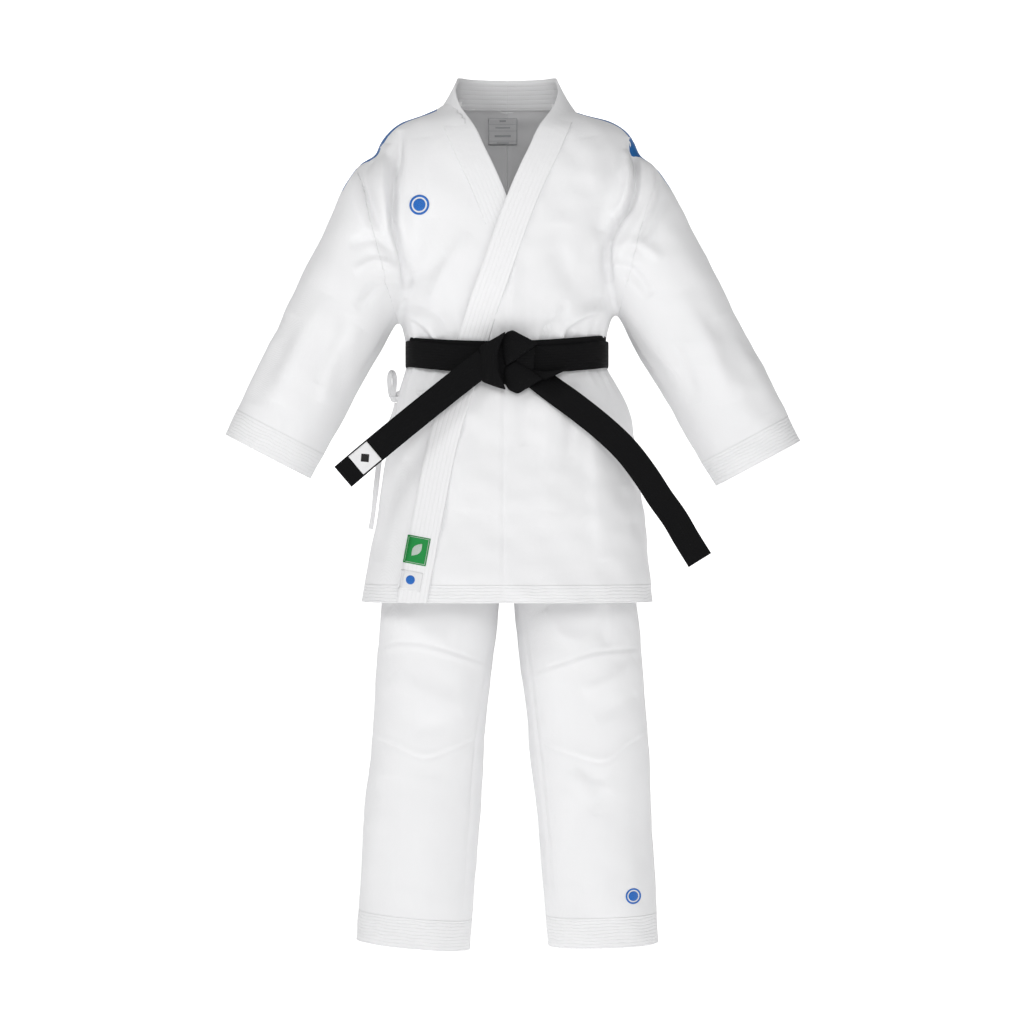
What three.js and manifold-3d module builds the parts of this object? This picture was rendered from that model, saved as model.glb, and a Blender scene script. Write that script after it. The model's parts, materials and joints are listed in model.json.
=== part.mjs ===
// Karate uniform: wrapped jacket with sleeves, trousers with legs, and a tied belt.
// Millimetres, +Z up, the front faces -Y. The origin is at the base of the neck, midway between
// the shoulders. Left and right are the wearer's, so the left side is at +X.

import * as THREE from 'three';
import { mergeVertices } from 'three/addons/utils/BufferGeometryUtils.js';
import Module from 'manifold-3d';

const wasm = await Module();
wasm.setup();

// ---- Driving dimensions -------------------------------------------------------------------

// Cloth and how the layers lie on each other.
const cloth = 2.0;
const layerGap = 0.6;
const seamOverlap = 6;

// Jacket: heights from the neck base, half widths and depths of the innermost layer.
const jacketHem = -786;
const hemBandHeight = 28;
const neckHalfWidth = 107.4;
const neckFront = 59.4;
const neckBack = 69.4;
const armHalfWidth = 252;
const chestHalfWidth = 158;
const waistHalfWidth = 144.5;
const waistDepth = 98;
const skirtHalfWidth = 220;
const skirtDepth = 146;
const chestDepth = 116;
const waistTop = -345;
const waistBottom = -432;

// Collar and lapels.
const collarTop = 54;
const collarFoot = -8;
const collarCloth = 3;
const collarClearance = 0.4;
const collarTopHalfWidth = 81;
const collarTopFront = 52;
const collarTopBack = 60;
const lapelWidth = 47;

// Sleeves: the pivot is the seam between the body and the sleeve.
const sleevePivotX = 222;
const sleevePivotZ = -239;
const sleeveAngle = 28;
const sleeveLength = 362;
const sleeveHeadRadius = 86;
const sleeveHalfWidth = 80;
const sleeveDepth = 90;
const cuffHalfWidth = 75;
const cuffDepth = 60;
const cuffBandLength = 44;
const sleeveLowered = 3;
const sleeveRaised = 60;
const jointClearance = 0.8;

// Belt.
const beltWidth = 42;
const beltTop = -371;
const beltCloth = 3.5;
const beltWrapRise = 7;
const beltClearance = 0.4;
const knotCoreDepth = 11.5;
const knotWrapDepth = 11;
const knotWrapStandoff = 10.4;
const beltEndTilt = 5.5;
const rightEndPivot = [-40, -412];
const leftEndPivot = [50, -438];

// Trousers.
const trouserTop = -394;
const trouserHem = -1341;
const waistbandHeight = 41;
const trouserWaistHalfWidth = 133;
const trouserWaistDepth = 87;
const hipHalfWidth = 184;
const hipDepth = 101;
const hipAxisZ = -562;
const legHeadRadius = 97;
const legSwing = 7;
const legHalfWidth = 94;
const legDepth = 91;
const legTopCentre = 103;
const ankleHalfWidth = 88;
const ankleDepth = 82;
const ankleCentre = 150;
const crotchGap = 16;
const legHemHeight = 48;
const kneeTop = -868;
const kneeBottom = -1012;

// Trim.
const labelCloth = 1.2;
const tapeWidth = 22;
const emblemRadius = 16;
const tieWidth = 9;
const tieCloth = 2;

// ---- Fineness of the solids ---------------------------------------------------------------

const columns = 20;
const bodyFullness = 2.4;
const hipFullness = 2.65;
const skirtFullness = 3.1;
const arcSegments = 14;
const wide = 600;

// ---- Finishes -----------------------------------------------------------------------------

function finish(color, roughness) {
  return new THREE.MeshStandardMaterial({ color, roughness, metalness: 0 });
}

const cottonWhite = 0xeceef2;
const liningWhite = 0xdfe2e8;
const beltBlack = 0x17181b;
const tapeBlue = 0x2f62c0;
const labelGreen = 0x2d7a3c;
const labelWhite = 0xf4f4f2;
const elasticWhite = 0xd4d6da;

// ---- Solids: joining, cutting and turning into meshes -------------------------------------

function toSolid(geometry) {
  const bare = geometry.clone();
  bare.deleteAttribute('normal');
  bare.deleteAttribute('uv');
  const merged = mergeVertices(bare, 1e-4);
  return new wasm.Manifold(new wasm.Mesh({
    numProp: 3,
    vertProperties: new Float32Array(merged.attributes.position.array),
    triVerts: new Uint32Array(merged.index.array),
  }));
}

function toGeometry(solid) {
  const mesh = solid.getMesh();
  const geometry = new THREE.BufferGeometry();
  geometry.setAttribute('position', new THREE.BufferAttribute(mesh.vertProperties, 3));
  geometry.setIndex(new THREE.BufferAttribute(mesh.triVerts, 1));
  return geometry;
}

// ---- Garment shells -----------------------------------------------------------------------

// Rows of a tube: [height, centre x, half width, front depth, back depth, fullness], each a ring
// that is rounder at a fullness of 2 and squarer above it.
function ringPoints(row) {
  const [height, centre, halfWidth, front, back, fullness = bodyFullness] = row;
  const points = [];
  for (let step = 0; step < columns; step += 1) {
    const turn = (step / columns) * 2 * Math.PI;
    const across = Math.cos(turn);
    const along = Math.sin(turn);
    const depth = along < 0 ? front : back;
    points.push(new THREE.Vector3(
      centre + halfWidth * Math.sign(across) * Math.abs(across) ** (2 / fullness),
      depth * Math.sign(along) * Math.abs(along) ** (2 / fullness),
      height,
    ));
  }
  return points;
}

// Outward normals at every point of the rows, which run from the top down.
function tubeNormals(grid) {
  const last = grid.length - 1;
  return grid.map((ring, r) => ring.map((point, c) => {
    const before = ring[(c + columns - 1) % columns];
    const after = ring[(c + 1) % columns];
    const above = grid[Math.max(r - 1, 0)][c];
    const below = grid[Math.min(r + 1, last)][c];
    const around = after.clone().sub(before);
    const down = below.clone().sub(above);
    return down.cross(around).normalize();
  }));
}

// A tube wall between two distances outside the rows, open at both ends.
function tubeShell(rows, inner, outer) {
  const grid = rows.map(ringPoints);
  const normals = tubeNormals(grid);
  const positions = [];
  for (const distance of [outer, inner]) {
    grid.forEach((ring, r) => ring.forEach((point, c) => {
      const moved = point.clone().addScaledVector(normals[r][c], distance);
      positions.push(moved.x, moved.y, moved.z);
    }));
  }
  const rings = grid.length;
  const at = (wall, r, c) => (wall * rings + r) * columns + (c % columns);
  const index = [];
  const quad = (a, b, c, d) => index.push(a, b, c, a, c, d);
  for (let c = 0; c < columns; c += 1) {
    for (let r = 0; r < rings - 1; r += 1) {
      quad(at(0, r, c), at(0, r + 1, c), at(0, r + 1, c + 1), at(0, r, c + 1));
      quad(at(1, r, c + 1), at(1, r + 1, c + 1), at(1, r + 1, c), at(1, r, c));
    }
    const end = rings - 1;
    quad(at(0, 0, c), at(0, 0, c + 1), at(1, 0, c + 1), at(1, 0, c));
    quad(at(1, end, c), at(1, end, c + 1), at(0, end, c + 1), at(0, end, c));
  }
  const geometry = new THREE.BufferGeometry();
  geometry.setAttribute('position', new THREE.Float32BufferAttribute(positions, 3));
  geometry.setIndex(index);
  return toSolid(geometry);
}

// Distances of a layer, counted from the innermost one.
function layer(number) {
  const start = number * (cloth + layerGap);
  return [start, start + cloth];
}

function trimLayer(number) {
  const start = number * (cloth + layerGap);
  return [start, start + labelCloth];
}

// ---- Cutters ------------------------------------------------------------------------------

function outline(points) {
  return new THREE.Shape(points.map(([x, z]) => new THREE.Vector2(x, z)));
}

// A shape drawn in the front view (x, z), carried from one depth to another along Y.
function frontPrism(shape, yStart, yEnd) {
  const geometry = new THREE.ExtrudeGeometry(shape, {
    depth: yEnd - yStart,
    bevelEnabled: false,
    curveSegments: arcSegments,
  });
  geometry.rotateX(Math.PI / 2);
  geometry.translate(0, yEnd, 0);
  return toSolid(geometry);
}

// A shape drawn in the side view (y, z), carried from one x to another.
function sidePrism(shape, xStart, xEnd) {
  const geometry = new THREE.ExtrudeGeometry(shape, {
    depth: xEnd - xStart,
    bevelEnabled: false,
    curveSegments: arcSegments,
  });
  geometry.rotateX(Math.PI / 2);
  geometry.rotateZ(Math.PI / 2);
  geometry.translate(xStart, 0, 0);
  return toSolid(geometry);
}

function block(xRange, yRange, zRange) {
  const geometry = new THREE.BoxGeometry(
    xRange[1] - xRange[0],
    yRange[1] - yRange[0],
    zRange[1] - zRange[0],
  );
  geometry.translate(
    (xRange[0] + xRange[1]) / 2,
    (yRange[0] + yRange[1]) / 2,
    (zRange[0] + zRange[1]) / 2,
  );
  return toSolid(geometry);
}

const radians = THREE.MathUtils.degToRad;

// The room a limb sweeps: a round head about the pivot, and the strip that leaves it, turned from
// one angle to another. Angles are from straight down, towards the first axis.
function sweptRoom(across, height, radius, firstAngle, lastAngle) {
  const first = radians(firstAngle);
  const last = radians(lastAngle);
  const reach = 2 * wide;
  const lowEdge = new THREE.Vector2(-Math.cos(first), -Math.sin(first)).multiplyScalar(radius);
  const highEdge = new THREE.Vector2(Math.cos(last), Math.sin(last)).multiplyScalar(radius);
  const lowRun = new THREE.Vector2(Math.sin(first), -Math.cos(first)).multiplyScalar(reach);
  const highRun = new THREE.Vector2(Math.sin(last), -Math.cos(last)).multiplyScalar(reach);
  const shape = new THREE.Shape();
  shape.moveTo(across + lowEdge.x + lowRun.x, height + lowEdge.y + lowRun.y);
  shape.lineTo(across + highEdge.x + highRun.x, height + highEdge.y + highRun.y);
  shape.lineTo(across + highEdge.x, height + highEdge.y);
  shape.absarc(across, height, radius, last, first + Math.PI, false);
  shape.closePath();
  return shape;
}

// ---- Jacket -------------------------------------------------------------------------------

const jacketRows = [
  [2, 0, neckHalfWidth, neckFront, neckBack],
  [-6, 0, neckHalfWidth + 24, neckFront + 10, neckBack + 10],
  [-22, 0, neckHalfWidth + 60, neckFront + 25, neckBack + 24],
  [-52, 0, armHalfWidth - 58, chestDepth - 20, chestDepth - 12],
  [-92, 0, armHalfWidth - 26, chestDepth - 8, chestDepth - 2],
  [-140, 0, armHalfWidth, chestDepth - 2, chestDepth + 2],
  [-200, 0, armHalfWidth - 12, chestDepth, chestDepth + 2],
  [-250, 0, chestHalfWidth + 40, chestDepth, chestDepth],
  [-300, 0, chestHalfWidth + 2, chestDepth - 4, chestDepth - 6],
  [waistTop, 0, waistHalfWidth, waistDepth, waistDepth],
  [waistBottom, 0, waistHalfWidth, waistDepth, waistDepth],
  [-475, 0, waistHalfWidth + 22, waistDepth + 12, waistDepth + 10],
  [-540, 0, skirtHalfWidth - 34, skirtDepth - 24, skirtDepth - 26, hipFullness],
  [-640, 0, skirtHalfWidth - 18, skirtDepth - 14, skirtDepth - 14, skirtFullness],
  [jacketHem + hemBandHeight, 0, skirtHalfWidth - 3, skirtDepth - 2, skirtDepth - 3, skirtFullness],
  [jacketHem, 0, skirtHalfWidth, skirtDepth, skirtDepth, skirtFullness],
];

function jacketShell(distances) {
  return tubeShell(jacketRows, distances[0], distances[1]);
}

// Half width of the innermost layer at a height, straight between the rows.
function jacketHalfWidthAt(height) {
  const below = jacketRows.findIndex((row) => row[0] <= height);
  const [upper, lower] = [jacketRows[below - 1], jacketRows[below]];
  const share = (upper[0] - height) / (upper[0] - lower[0]);
  return upper[2] + share * (lower[2] - upper[2]);
}

// Free edge of the outer lapel in the front view, from the neck to the hem.
const freeEdge = [
  [74, 12], [55, -17], [38, -69], [0, -147], [-38, -253], [-78, -374], [-112, -490],
  [-174, jacketHem - 4],
];

// The seam edge lies one lapel width from the free edge, square to it.
function besideEdge(edge, distance) {
  return edge.map(([x, z], i) => {
    const before = edge[Math.max(i - 1, 0)];
    const after = edge[Math.min(i + 1, edge.length - 1)];
    const run = new THREE.Vector2(after[0] - before[0], after[1] - before[1]).normalize();
    return [x - run.y * distance, z + run.x * distance];
  });
}

const mirrored = (points) => points.map(([x, z]) => [-x, z]);

const seamEdge = besideEdge(freeEdge, lapelWidth);
const panelEdge = besideEdge(freeEdge, lapelWidth - 10);
const lapelOutline = [...freeEdge, ...[...seamEdge].reverse()];
const panelOutline = [...panelEdge, [wide, jacketHem - 4], [wide, 40], [90, 40]];

function armhole(side) {
  const shape = sweptRoom(
    sleevePivotX,
    sleevePivotZ,
    sleeveHeadRadius + jointClearance,
    sleeveAngle - sleeveLowered,
    sleeveAngle + sleeveRaised,
  );
  const room = frontPrism(shape, -wide, wide);
  return side > 0 ? room : room.mirror([1, 0, 0]);
}

const armholes = armhole(1).add(armhole(-1));
const front = [-wide, seamOverlap];
const back = [-seamOverlap, wide];

function onJacket(distances, points, [yStart, yEnd]) {
  return jacketShell(distances)
    .intersect(frontPrism(outline(points), yStart, yEnd))
    .subtract(armholes);
}

function rectangle(x0, z0, x1, z1) {
  return [[x0, z0], [x1, z0], [x1, z1], [x0, z1]];
}

function turnedRectangle(centreX, centreZ, width, height, angle) {
  const cos = Math.cos(radians(angle));
  const sin = Math.sin(radians(angle));
  return rectangle(-width / 2, -height / 2, width / 2, height / 2)
    .map(([x, z]) => [centreX + x * cos - z * sin, centreZ + x * sin + z * cos]);
}

const wholeBody = rectangle(-wide, jacketHem - 4, wide, 40);

function jacketPieces() {
  const hemTop = jacketHem + hemBandHeight;
  const yokeBottom = -108;
  const neckRoom = neckHalfWidth + 8;
  const ventTop = -545;
  const ventPatch = 40;
  const rightSeam = mirrored(seamEdge);
  const hemStart = seamEdge[seamEdge.length - 1][0] + 6;
  const yoke = (side, number) => onJacket(
    layer(number),
    rectangle(side * neckRoom, yokeBottom, side * armHalfWidth, 40),
    [-wide, wide],
  );
  const shoulderTape = (side, number) => onJacket(
    trimLayer(number),
    rectangle(side * (neckHalfWidth + 12), -130, side * wide, 40),
    [-tapeWidth / 2, tapeWidth / 2],
  );
  const ventPiece = (side, number) => onJacket(
    layer(number),
    rectangle(side * waistHalfWidth, ventTop - ventPatch, side * wide, ventTop),
    [-ventPatch / 2, ventPatch / 2],
  );
  return {
    back_panel: onJacket(layer(1), wholeBody, back),
    front_panel_right: onJacket(layer(0), mirrored(panelOutline), front),
    front_panel_left: onJacket(layer(2), panelOutline, front),
    lapel_right: onJacket(layer(1), mirrored(lapelOutline), [-wide, -20]),
    lapel_left: onJacket(layer(3), lapelOutline, [-wide, -20]),
    shoulder_yoke_right: yoke(-1, -1),
    shoulder_yoke_left: yoke(1, 0),
    hem_band_back: onJacket(
      layer(2),
      rectangle(-wide, jacketHem - 4, wide, hemTop),
      [seamOverlap + 2, wide],
    ),
    hem_band_right: onJacket(
      layer(1),
      rectangle(-wide, jacketHem - 4, rightSeam[rightSeam.length - 1][0] - 12, hemTop),
      [-wide, -seamOverlap - 2],
    ),
    hem_band_left: onJacket(
      layer(3),
      rectangle(hemStart + 10, jacketHem - 4, wide, hemTop),
      front,
    ),
    vent_patch_right: ventPiece(-1, 2),
    vent_patch_left: ventPiece(1, 3),
    shoulder_tape_right: shoulderTape(-1, 2),
    shoulder_tape_left: shoulderTape(1, 3),
  };
}

// ---- Collar -------------------------------------------------------------------------------

function collarPiece() {
  const room = collarCloth + collarClearance;
  const rows = [
    [collarTop, 0, collarTopHalfWidth, collarTopFront, collarTopBack],
    [12, 0, neckHalfWidth - room, neckFront - room, neckBack - room],
    [collarFoot, 0, neckHalfWidth - room, neckFront - room, neckBack - room],
  ];
  const throat = [
    [-collarTopHalfWidth + 3, collarTop + 10],
    [collarTopHalfWidth - 3, collarTop + 10],
    [64, collarFoot - 4],
    [-64, collarFoot - 4],
  ];
  return tubeShell(rows, 0, collarCloth).subtract(frontPrism(outline(throat), -wide, 0));
}

// ---- Labels, emblems and the side tie -----------------------------------------------------

function jacketTrim() {
  const disc = new THREE.Shape();
  disc.absarc(-138, -159, emblemRadius, 0, 2 * Math.PI, false);
  const chestEmblem = jacketShell(trimLayer(1)).intersect(frontPrism(disc, -wide, 0));
  const lapelLean = -12;
  return {
    chest_emblem: chestEmblem,
    lapel_label: onJacket(
      trimLayer(4),
      turnedRectangle(-141, -703, 37, 44, lapelLean),
      [-wide, 0],
    ),
    lapel_badge: onJacket(
      trimLayer(4),
      turnedRectangle(-151, -750, 25, 16, lapelLean),
      [-wide, 0],
    ),
    neck_label: onJacket(
      [layerGap, layerGap + labelCloth],
      rectangle(-31, -44, 17, -8),
      [0, wide],
    ),
  };
}

const tieKnotHeight = -462;
const tieDepth = -14;
const tieRoom = 2 * cloth + layerGap + 0.2;

function sideTieBow() {
  const inside = -jacketHalfWidthAt(tieKnotHeight + 8) - tieRoom - 4;
  const loopCentre = [inside - 7, tieKnotHeight + 24];
  const loop = new THREE.Shape();
  loop.absellipse(loopCentre[0], loopCentre[1], 9, 19, 0, 2 * Math.PI, false, 0);
  const eye = new THREE.Path();
  eye.absellipse(loopCentre[0], loopCentre[1], 5.5, 14, 0, 2 * Math.PI, true, 0);
  loop.holes.push(eye);
  const ring = frontPrism(loop, tieDepth - 4, tieDepth + 4);
  const knot = block(
    [inside - 14, inside],
    [tieDepth - 6, tieDepth + 6],
    [tieKnotHeight - 6, tieKnotHeight + 8],
  );
  return ring.add(knot);
}

function sideTieStrap() {
  return onJacket(
    trimLayer(1),
    turnedRectangle(-141, -458, 58, tieWidth, 8),
    [-wide, -24],
  );
}

// The tape hangs from its knot along the side of the skirt.
const tieTailRoute = [
  [-175.5, -14, -469.4], [-178.5, -14, -481], [-184.5, -14.5, -496], [-191, -15, -513],
  [-197, -15.5, -530], [-201.5, -16.5, -548], [-204.5, -17, -566], [-206.5, -17.5, -584],
  [-208.5, -18, -602], [-210.5, -18.5, -620], [-212.5, -19, -638], [-215, -19.5, -656],
  [-217.5, -20, -670],
];

function sideTieTail() {
  const path = new THREE.CatmullRomCurve3(tieTailRoute.map((p) => new THREE.Vector3(...p)));
  const section = new THREE.Shape();
  section.absellipse(0, 0, tieCloth / 2, tieWidth / 2, 0, 2 * Math.PI, false, 0);
  return toSolid(new THREE.ExtrudeGeometry(section, {
    steps: 14,
    extrudePath: path,
    bevelEnabled: false,
    curveSegments: 4,
  }));
}

// ---- Sleeves ------------------------------------------------------------------------------

// Drawn hanging straight down from the pivot, then turned out and moved to it.
const sleeveRows = [
  [sleeveHeadRadius + 6, 0, sleeveHalfWidth, sleeveDepth, sleeveDepth],
  [0, 0, sleeveHalfWidth, sleeveDepth, sleeveDepth],
  [-110, 0, sleeveHalfWidth, sleeveDepth - 8, sleeveDepth - 8],
  [-230, 0, sleeveHalfWidth - 2, sleeveDepth - 22, sleeveDepth - 22],
  [cuffBandLength - sleeveLength, 0, cuffHalfWidth, cuffDepth, cuffDepth],
  [-sleeveLength, 0, cuffHalfWidth, cuffDepth, cuffDepth],
];

function sleevePiece(distances, points, yStart, yEnd) {
  const headShape = sweptRoom(0, 0, sleeveHeadRadius, 0, 0);
  return tubeShell(sleeveRows, distances[0], distances[1])
    .intersect(frontPrism(headShape, -wide, wide))
    .intersect(frontPrism(outline(points), yStart, yEnd));
}

function sleevePieces() {
  const cuffTop = cuffBandLength - sleeveLength;
  return {
    sleeve: sleevePiece(layer(0), rectangle(-wide, -wide, wide, wide), -wide, wide),
    cuff_band: sleevePiece(layer(1), rectangle(-wide, -wide, wide, cuffTop), -wide, wide),
    sleeve_tape: sleevePiece(
      trimLayer(1),
      rectangle(0, -60, wide, -4),
      -tapeWidth / 2,
      tapeWidth / 2,
    ),
    underarm_gusset: sleevePiece(
      [-cloth - layerGap, -layerGap],
      rectangle(-wide, -120, -sleeveHalfWidth / 2, -8),
      -45,
      45,
    ),
  };
}

// ---- Belt ---------------------------------------------------------------------------------

const beltStart = 4 * (cloth + layerGap);
const outerWrapStart = beltStart + beltCloth + layerGap;
const beltFace = -(waistDepth + outerWrapStart + beltCloth);

function beltWrap(start, top) {
  const rows = [top, top - beltWidth].map((z) => [z, 0, waistHalfWidth, waistDepth, waistDepth]);
  return tubeShell(rows, start, start + beltCloth);
}

// A flat band of the belt along a route in the front view, with a round root at the pivot.
function bandShape(route) {
  const curve = new THREE.SplineCurve(route.map(([x, z]) => new THREE.Vector2(x, z)));
  const half = beltWidth / 2;
  const steps = 8;
  const left = [];
  const right = [];
  for (let i = 0; i <= steps; i += 1) {
    const point = curve.getPoint(i / steps);
    const run = curve.getTangent(i / steps);
    left.push([point.x - run.y * half, point.y + run.x * half]);
    right.unshift([point.x + run.y * half, point.y - run.x * half]);
  }
  const shape = outline([...left, ...right]);
  const run = curve.getTangent(0);
  const heading = Math.atan2(run.y, run.x);
  shape.absarc(route[0][0], route[0][1], half, heading - Math.PI / 2, heading - 1.5 * Math.PI, true);
  return shape;
}

// Routes are from the pivot: across, up.
const rightEndRoute = [[0, 0], [-70, -57], [-145, -118], [-216, -176]];
const leftEndRoute = [[0, 0], [68, -42], [136, -106], [190, -182], [230, -244], [248, -278]];
const endFront = -beltCloth;

const knotOutline = [
  [-48, -372], [-20, -362], [8, -356], [52, -362], [46, -392], [60, -436], [18, -459], [-18, -450],
  [-34, -428], [-50, -404],
];

const knotBack = beltFace - beltClearance;
const knotCoreFront = knotBack - knotCoreDepth;

// The wrap lies over the roots of both ends, and turns back over the top of the belt.
function knotPieces() {
  const wrapBack = knotCoreFront - knotWrapStandoff;
  const turnBack = frontPrism(outline(rectangle(-6, -372, 40, -360)), wrapBack - 2, knotBack);
  return {
    belt_knot_core: frontPrism(outline(rectangle(-30, -432, 40, -376)), knotCoreFront, knotBack),
    belt_knot_wrap: frontPrism(outline(knotOutline), wrapBack - knotWrapDepth, wrapBack)
      .add(turnBack),
  };
}

// The ends swing in a plane that leans forward with the skirt, just clear of the knot's core.
const endRootRise = (beltWidth / 2) * Math.sin(radians(beltEndTilt));
const endPlane = knotCoreFront - endRootRise - beltClearance;

// ---- Trousers -----------------------------------------------------------------------------

const seatRows = [
  [trouserTop, 0, trouserWaistHalfWidth, trouserWaistDepth, trouserWaistDepth],
  [trouserTop - waistbandHeight, 0, trouserWaistHalfWidth, trouserWaistDepth, trouserWaistDepth],
  [-475, 0, trouserWaistHalfWidth + 18, trouserWaistDepth + 8, trouserWaistDepth + 8],
  [-530, 0, hipHalfWidth - 10, hipDepth - 2, hipDepth - 2],
  [hipAxisZ - 30, 0, hipHalfWidth, hipDepth, hipDepth],
];

const legRows = [
  [hipAxisZ + legHeadRadius + 4, legTopCentre - 24, legHalfWidth - 26, legDepth, legDepth],
  [-530, legTopCentre - 12, legHalfWidth - 13, legDepth - 4, legDepth - 4],
  [hipAxisZ, legTopCentre - 8, legHalfWidth - 9, legDepth, legDepth],
  [hipAxisZ - 100, legTopCentre, legHalfWidth - 3, legDepth, legDepth],
  [-790, legTopCentre + 4, legHalfWidth, legDepth - 2, legDepth - 2],
  [kneeTop, legTopCentre + 10, legHalfWidth, legDepth - 4, legDepth - 4],
  [kneeBottom, legTopCentre + 22, legHalfWidth - 2, legDepth - 6, legDepth - 6],
  [-1160, ankleCentre - 13, ankleHalfWidth + 2, ankleDepth + 1, ankleDepth + 1],
  [trouserHem + legHemHeight, ankleCentre - 3, ankleHalfWidth, ankleDepth, ankleDepth],
  [trouserHem, ankleCentre, ankleHalfWidth, ankleDepth, ankleDepth],
];

function seatShell(distances) {
  const roomShape = new THREE.Shape();
  const radius = legHeadRadius + jointClearance;
  const tilt = radians(legSwing);
  const reach = wide;
  roomShape.moveTo(-radius * Math.cos(tilt) - reach * Math.sin(tilt), hipAxisZ - reach);
  roomShape.lineTo(radius * Math.cos(tilt) + reach * Math.sin(tilt), hipAxisZ - reach);
  roomShape.lineTo(radius * Math.cos(tilt), hipAxisZ - radius * Math.sin(tilt));
  roomShape.absarc(0, hipAxisZ, radius, -tilt, Math.PI + tilt, false);
  roomShape.closePath();
  return tubeShell(seatRows, distances[0], distances[1])
    .subtract(sidePrism(roomShape, -wide, wide));
}

function seatPieces() {
  const everything = rectangle(-wide, -wide * 2, wide, wide);
  const bandBottom = trouserTop - waistbandHeight;
  const band = rectangle(-wide, bandBottom, wide, wide);
  return {
    seat_front: seatShell(layer(0))
      .intersect(frontPrism(outline(everything), -wide, -layerGap)),
    seat_back: seatShell(layer(0))
      .intersect(frontPrism(outline(everything), 0, wide)),
    waistband: seatShell(layer(1)).intersect(frontPrism(outline(band), -wide, wide)),
    waist_elastic: seatShell([-cloth - layerGap, -layerGap])
      .intersect(frontPrism(outline(rectangle(-wide, bandBottom + 8, wide, trouserTop - 8)),
        -wide, wide)),
  };
}

// The gusset is a strip that runs under the crotch from the front of the seat to the back.
function crotchGusset() {
  const outer = hipDepth - 2 * layerGap;
  const inner = outer - 2 * cloth;
  const rise = 0.12;
  const shape = new THREE.Shape();
  shape.absarc(0, hipAxisZ, outer, Math.PI + rise, 2 * Math.PI - rise, false);
  shape.absarc(0, hipAxisZ, inner, 2 * Math.PI - rise, Math.PI + rise, true);
  shape.closePath();
  const half = crotchGap / 2 - jointClearance;
  return sidePrism(shape, -half, half);
}

function legShell(distances) {
  const shape = new THREE.Shape();
  shape.moveTo(-legHeadRadius, -3 * wide);
  shape.lineTo(legHeadRadius, -3 * wide);
  shape.lineTo(legHeadRadius, hipAxisZ);
  shape.absarc(0, hipAxisZ, legHeadRadius, 0, Math.PI, false);
  shape.closePath();
  const crotchRoom = block(
    [-wide, legTopCentre - 24],
    [-wide, wide],
    [hipAxisZ - legHeadRadius - 4, wide],
  );
  return tubeShell(legRows, distances[0], distances[1])
    .intersect(sidePrism(shape, crotchGap / 2, wide))
    .subtract(crotchRoom);
}

function legPieces() {
  const hemTop = trouserHem + legHemHeight;
  return {
    leg: legShell(layer(0)),
    knee_panel: legShell(layer(1)).intersect(
      frontPrism(outline(rectangle(0, kneeBottom, wide, kneeTop)), -wide, -18),
    ),
    trouser_hem: legShell(layer(1)).intersect(
      frontPrism(outline(rectangle(0, trouserHem - 4, wide, hemTop)), -wide, wide),
    ),
  };
}

function trouserEmblem() {
  const disc = new THREE.Shape();
  disc.absarc(200, -1250, emblemRadius - 2, 0, 2 * Math.PI, false);
  return legShell(trimLayer(1)).intersect(frontPrism(disc, -wide, -6));
}

// ---- Assembly -----------------------------------------------------------------------------

const uniform = new THREE.Group();

function place(parent, name, solid, color, roughness) {
  const mesh = new THREE.Mesh(toGeometry(solid), finish(color, roughness));
  mesh.name = name;
  parent.add(mesh);
}

function placeAll(parent, pieces, suffix, color, roughness) {
  for (const [name, solid] of Object.entries(pieces)) {
    place(parent, `${name}${suffix}`, solid, color, roughness);
  }
}

const { shoulder_tape_right, shoulder_tape_left, ...jacketCloth } = jacketPieces();
placeAll(uniform, jacketCloth, '', cottonWhite, 0.9);
place(uniform, 'shoulder_tape_right', shoulder_tape_right, tapeBlue, 0.6);
place(uniform, 'shoulder_tape_left', shoulder_tape_left, tapeBlue, 0.6);
place(uniform, 'collar', collarPiece(), cottonWhite, 0.9);

const trim = jacketTrim();
place(uniform, 'chest_emblem', trim.chest_emblem, tapeBlue, 0.55);
place(uniform, 'lapel_label', trim.lapel_label, labelGreen, 0.6);
place(uniform, 'lapel_badge', trim.lapel_badge, labelWhite, 0.6);
place(uniform, 'neck_label', trim.neck_label, labelWhite, 0.6);
place(uniform, 'side_tie_bow', sideTieBow(), cottonWhite, 0.85);
place(uniform, 'side_tie_strap', sideTieStrap(), cottonWhite, 0.85);
place(uniform, 'side_tie_tail', sideTieTail(), cottonWhite, 0.85);

for (const [side, suffix] of [[1, '_left'], [-1, '_right']]) {
  const arm = new THREE.Group();
  arm.position.set(side * sleevePivotX, 0, sleevePivotZ);
  arm.rotation.y = side * -radians(sleeveAngle);
  uniform.add(arm);
  const { sleeve_tape, ...armCloth } = sleevePieces();
  const turned = (solid) => (side > 0 ? solid : solid.mirror([1, 0, 0]));
  for (const [name, solid] of Object.entries(armCloth)) {
    place(arm, `${name}${suffix}`, turned(solid), cottonWhite, 0.9);
  }
  place(arm, `sleeve_tape${suffix}`, turned(sleeve_tape), tapeBlue, 0.6);
}

place(uniform, 'belt_wrap_inner', beltWrap(beltStart, beltTop + beltWrapRise), beltBlack, 0.8);
place(uniform, 'belt_wrap_outer', beltWrap(outerWrapStart, beltTop), beltBlack, 0.8);
placeAll(uniform, knotPieces(), '', beltBlack, 0.8);

const labelHeading = Math.atan2(rightEndRoute[3][1], rightEndRoute[3][0]);
const labelDistance = 240;
const beltLabelShape = outline(turnedRectangle(
  labelDistance * Math.cos(labelHeading),
  labelDistance * Math.sin(labelHeading),
  37,
  34,
  THREE.MathUtils.radToDeg(labelHeading),
));

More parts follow.
